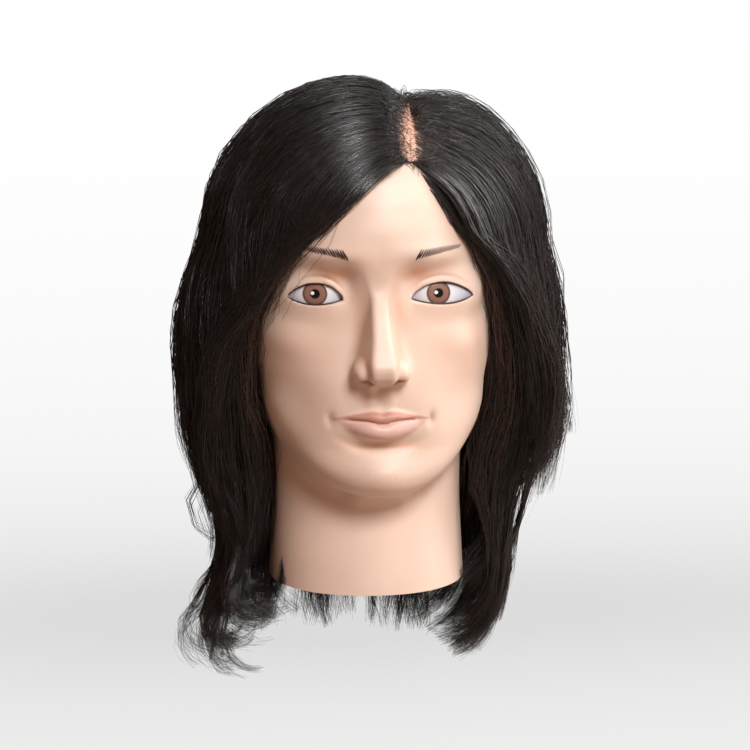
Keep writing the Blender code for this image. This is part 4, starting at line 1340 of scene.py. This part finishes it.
def finish_cad_nodes():
    finishes = {
        "foam_core": moulded("rigid_foam", colour(222, 208, 168), colour(236, 224, 190), 0.85, 300.0),
        "root_seal_layer": moulded("root_adhesive", colour(196, 186, 150), colour(214, 206, 176), 0.6),
        "clamp_socket": moulded("socket_moulding", colour(34, 34, 37), colour(48, 48, 51), 0.42),
        "neck_base_plate": moulded("base_moulding", colour(196, 150, 122), colour(208, 164, 136), 0.48),
    }
    steel = steel_finish()
    for name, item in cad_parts.items():
        finish = steel if name.startswith("base_screw") else finishes.get(name)
        if finish:
            for slot in item.material_slots:
                slot.material = finish


# ---- stage, lights and camera

FLOOR_Z = -0.0715


def make_stage():
    """A floor that, seen by the camera, glows with a painted shadow: darkest just behind the head and paling into
    the white of the room with distance. Other rays see a dim, warm floor.
    """
    n = Nodes("floor_painted_shadow")
    # Painted shadow: the glow's grey is measured from a point just behind the head
    moved = n.add("ShaderNodeVectorMath", {0: n.where(), 1: (0, -0.17, 0)}, operation="ADD").outputs[0]
    narrowed = n.add("ShaderNodeVectorMath", {0: moved, 1: (0.35, 1, 1)}, operation="MULTIPLY").outputs[0]
    away = n.add("ShaderNodeVectorMath", {0: narrowed}, operation="LENGTH").outputs["Value"]
    share = n.math("DIVIDE", away, n.math("ADD", away, 0.35))
    shadow_greys = ((0, 0.69), (0.22, 0.71), (0.39, 0.80), (0.52, 0.86), (0.70, 0.92), (0.95, 0.985), (0.985, 1.0))
    tone = n.ramp(share, [(at, (grey, grey, grey, 1)) for at, grey in shadow_greys])
    n.set(Base_Color=n.mix(n.noise(6.0), (0.34, 0.25, 0.20, 1), (0.36, 0.27, 0.22, 1)), Roughness=0.9)
    glow = n.add("ShaderNodeEmission", {"Color": tone, "Strength": 1.03})
    seen = n.add("ShaderNodeLightPath").outputs["Is Camera Ray"]
    both = n.add("ShaderNodeMixShader")
    n.put(both.inputs[0], n.math("MULTIPLY", seen, 0.97))
    n.put(both.inputs[1], n.shader.outputs["BSDF"])
    n.put(both.inputs[2], glow.outputs[0])
    n.put(n.tree.nodes["Material Output"].inputs["Surface"], both.outputs[0])
    reach = 30.0
    corners = [(reach * x, reach * y, FLOOR_Z) for x, y in ((-1, -1), (1, -1), (1, 1), (-1, 1))]
    floor = new_piece("floor", corners, [(0, 1, 2, 3)], n.material)


def make_world():
    world = bpy.data.worlds.new("studio")
    bpy.context.scene.world = world
    world.use_nodes = True
    tree = world.node_tree
    background = tree.nodes["Background"]
    seen = tree.nodes.new("ShaderNodeLightPath").outputs["Is Camera Ray"]
    tone = tree.nodes.new("ShaderNodeMix")
    tone.data_type = "RGBA"
    tree.links.new(seen, tone.inputs["Factor"])
    tone.inputs[6].default_value = (0.176, 0.075, 0.041, 1)
    tone.inputs[7].default_value = (1, 1, 1, 1)
    tree.links.new(tone.outputs[2], background.inputs["Color"])


def area_light(name, place, target, size, power):
    light = bpy.data.lights.new(name, "AREA")
    light.shape = "RECTANGLE"
    light.size, light.size_y = size
    light.energy = power
    item = added(name, light)
    item.location = place
    item.rotation_euler = (Vector(target) - Vector(place)).to_track_quat("-Z", "Y").to_euler()


def make_lights():
    area_light("key", (0.40, -1.32, 1.12), (0, 0, 0.14), (0.55, 0.55), 26)
    area_light("top", (0.0, 0.10, 1.50), (0, 0, 0.2), (1.0, 0.4), 5)
    area_light("rim_right", (1.20, 0.15, 1.00), (0, 0, 0.16), (0.5, 0.9), 16)
    area_light("low_right", (1.30, -0.30, 0.15), (0, 0, 0.10), (0.3, 0.8), 4)


CAMERA_AZIMUTH = math.radians(-5)
CAMERA_ELEVATION = math.radians(8)
CAMERA_DISTANCE = 1.15
CAMERA_LENS = 90.96
CAMERA_TARGET = Vector((0.0053, 0.0, 0.1212))


def make_camera():
    data = bpy.data.cameras.new("camera")
    data.sensor_width = 36.0
    data.lens = CAMERA_LENS
    item = added("camera", data)
    flat = math.cos(CAMERA_ELEVATION)
    x, y = math.sin(CAMERA_AZIMUTH), -math.cos(CAMERA_AZIMUTH)
    away = Vector((flat * x, flat * y, math.sin(CAMERA_ELEVATION)))
    item.location = CAMERA_TARGET + CAMERA_DISTANCE * away
    item.rotation_euler = (-away).to_track_quat("-Z", "Y").to_euler()
    bpy.context.scene.camera = item


def main():
    scene = bpy.context.scene
    scene.view_settings.view_transform = "Standard"
    make_camera()
    make_world()
    make_lights()
    make_stage()
    random = np.random.default_rng(7)
    make_skin()
    make_eyes()
    make_lash_lines()
    make_brows(random)
    make_hair(random)
    finish_cad_nodes()


main()
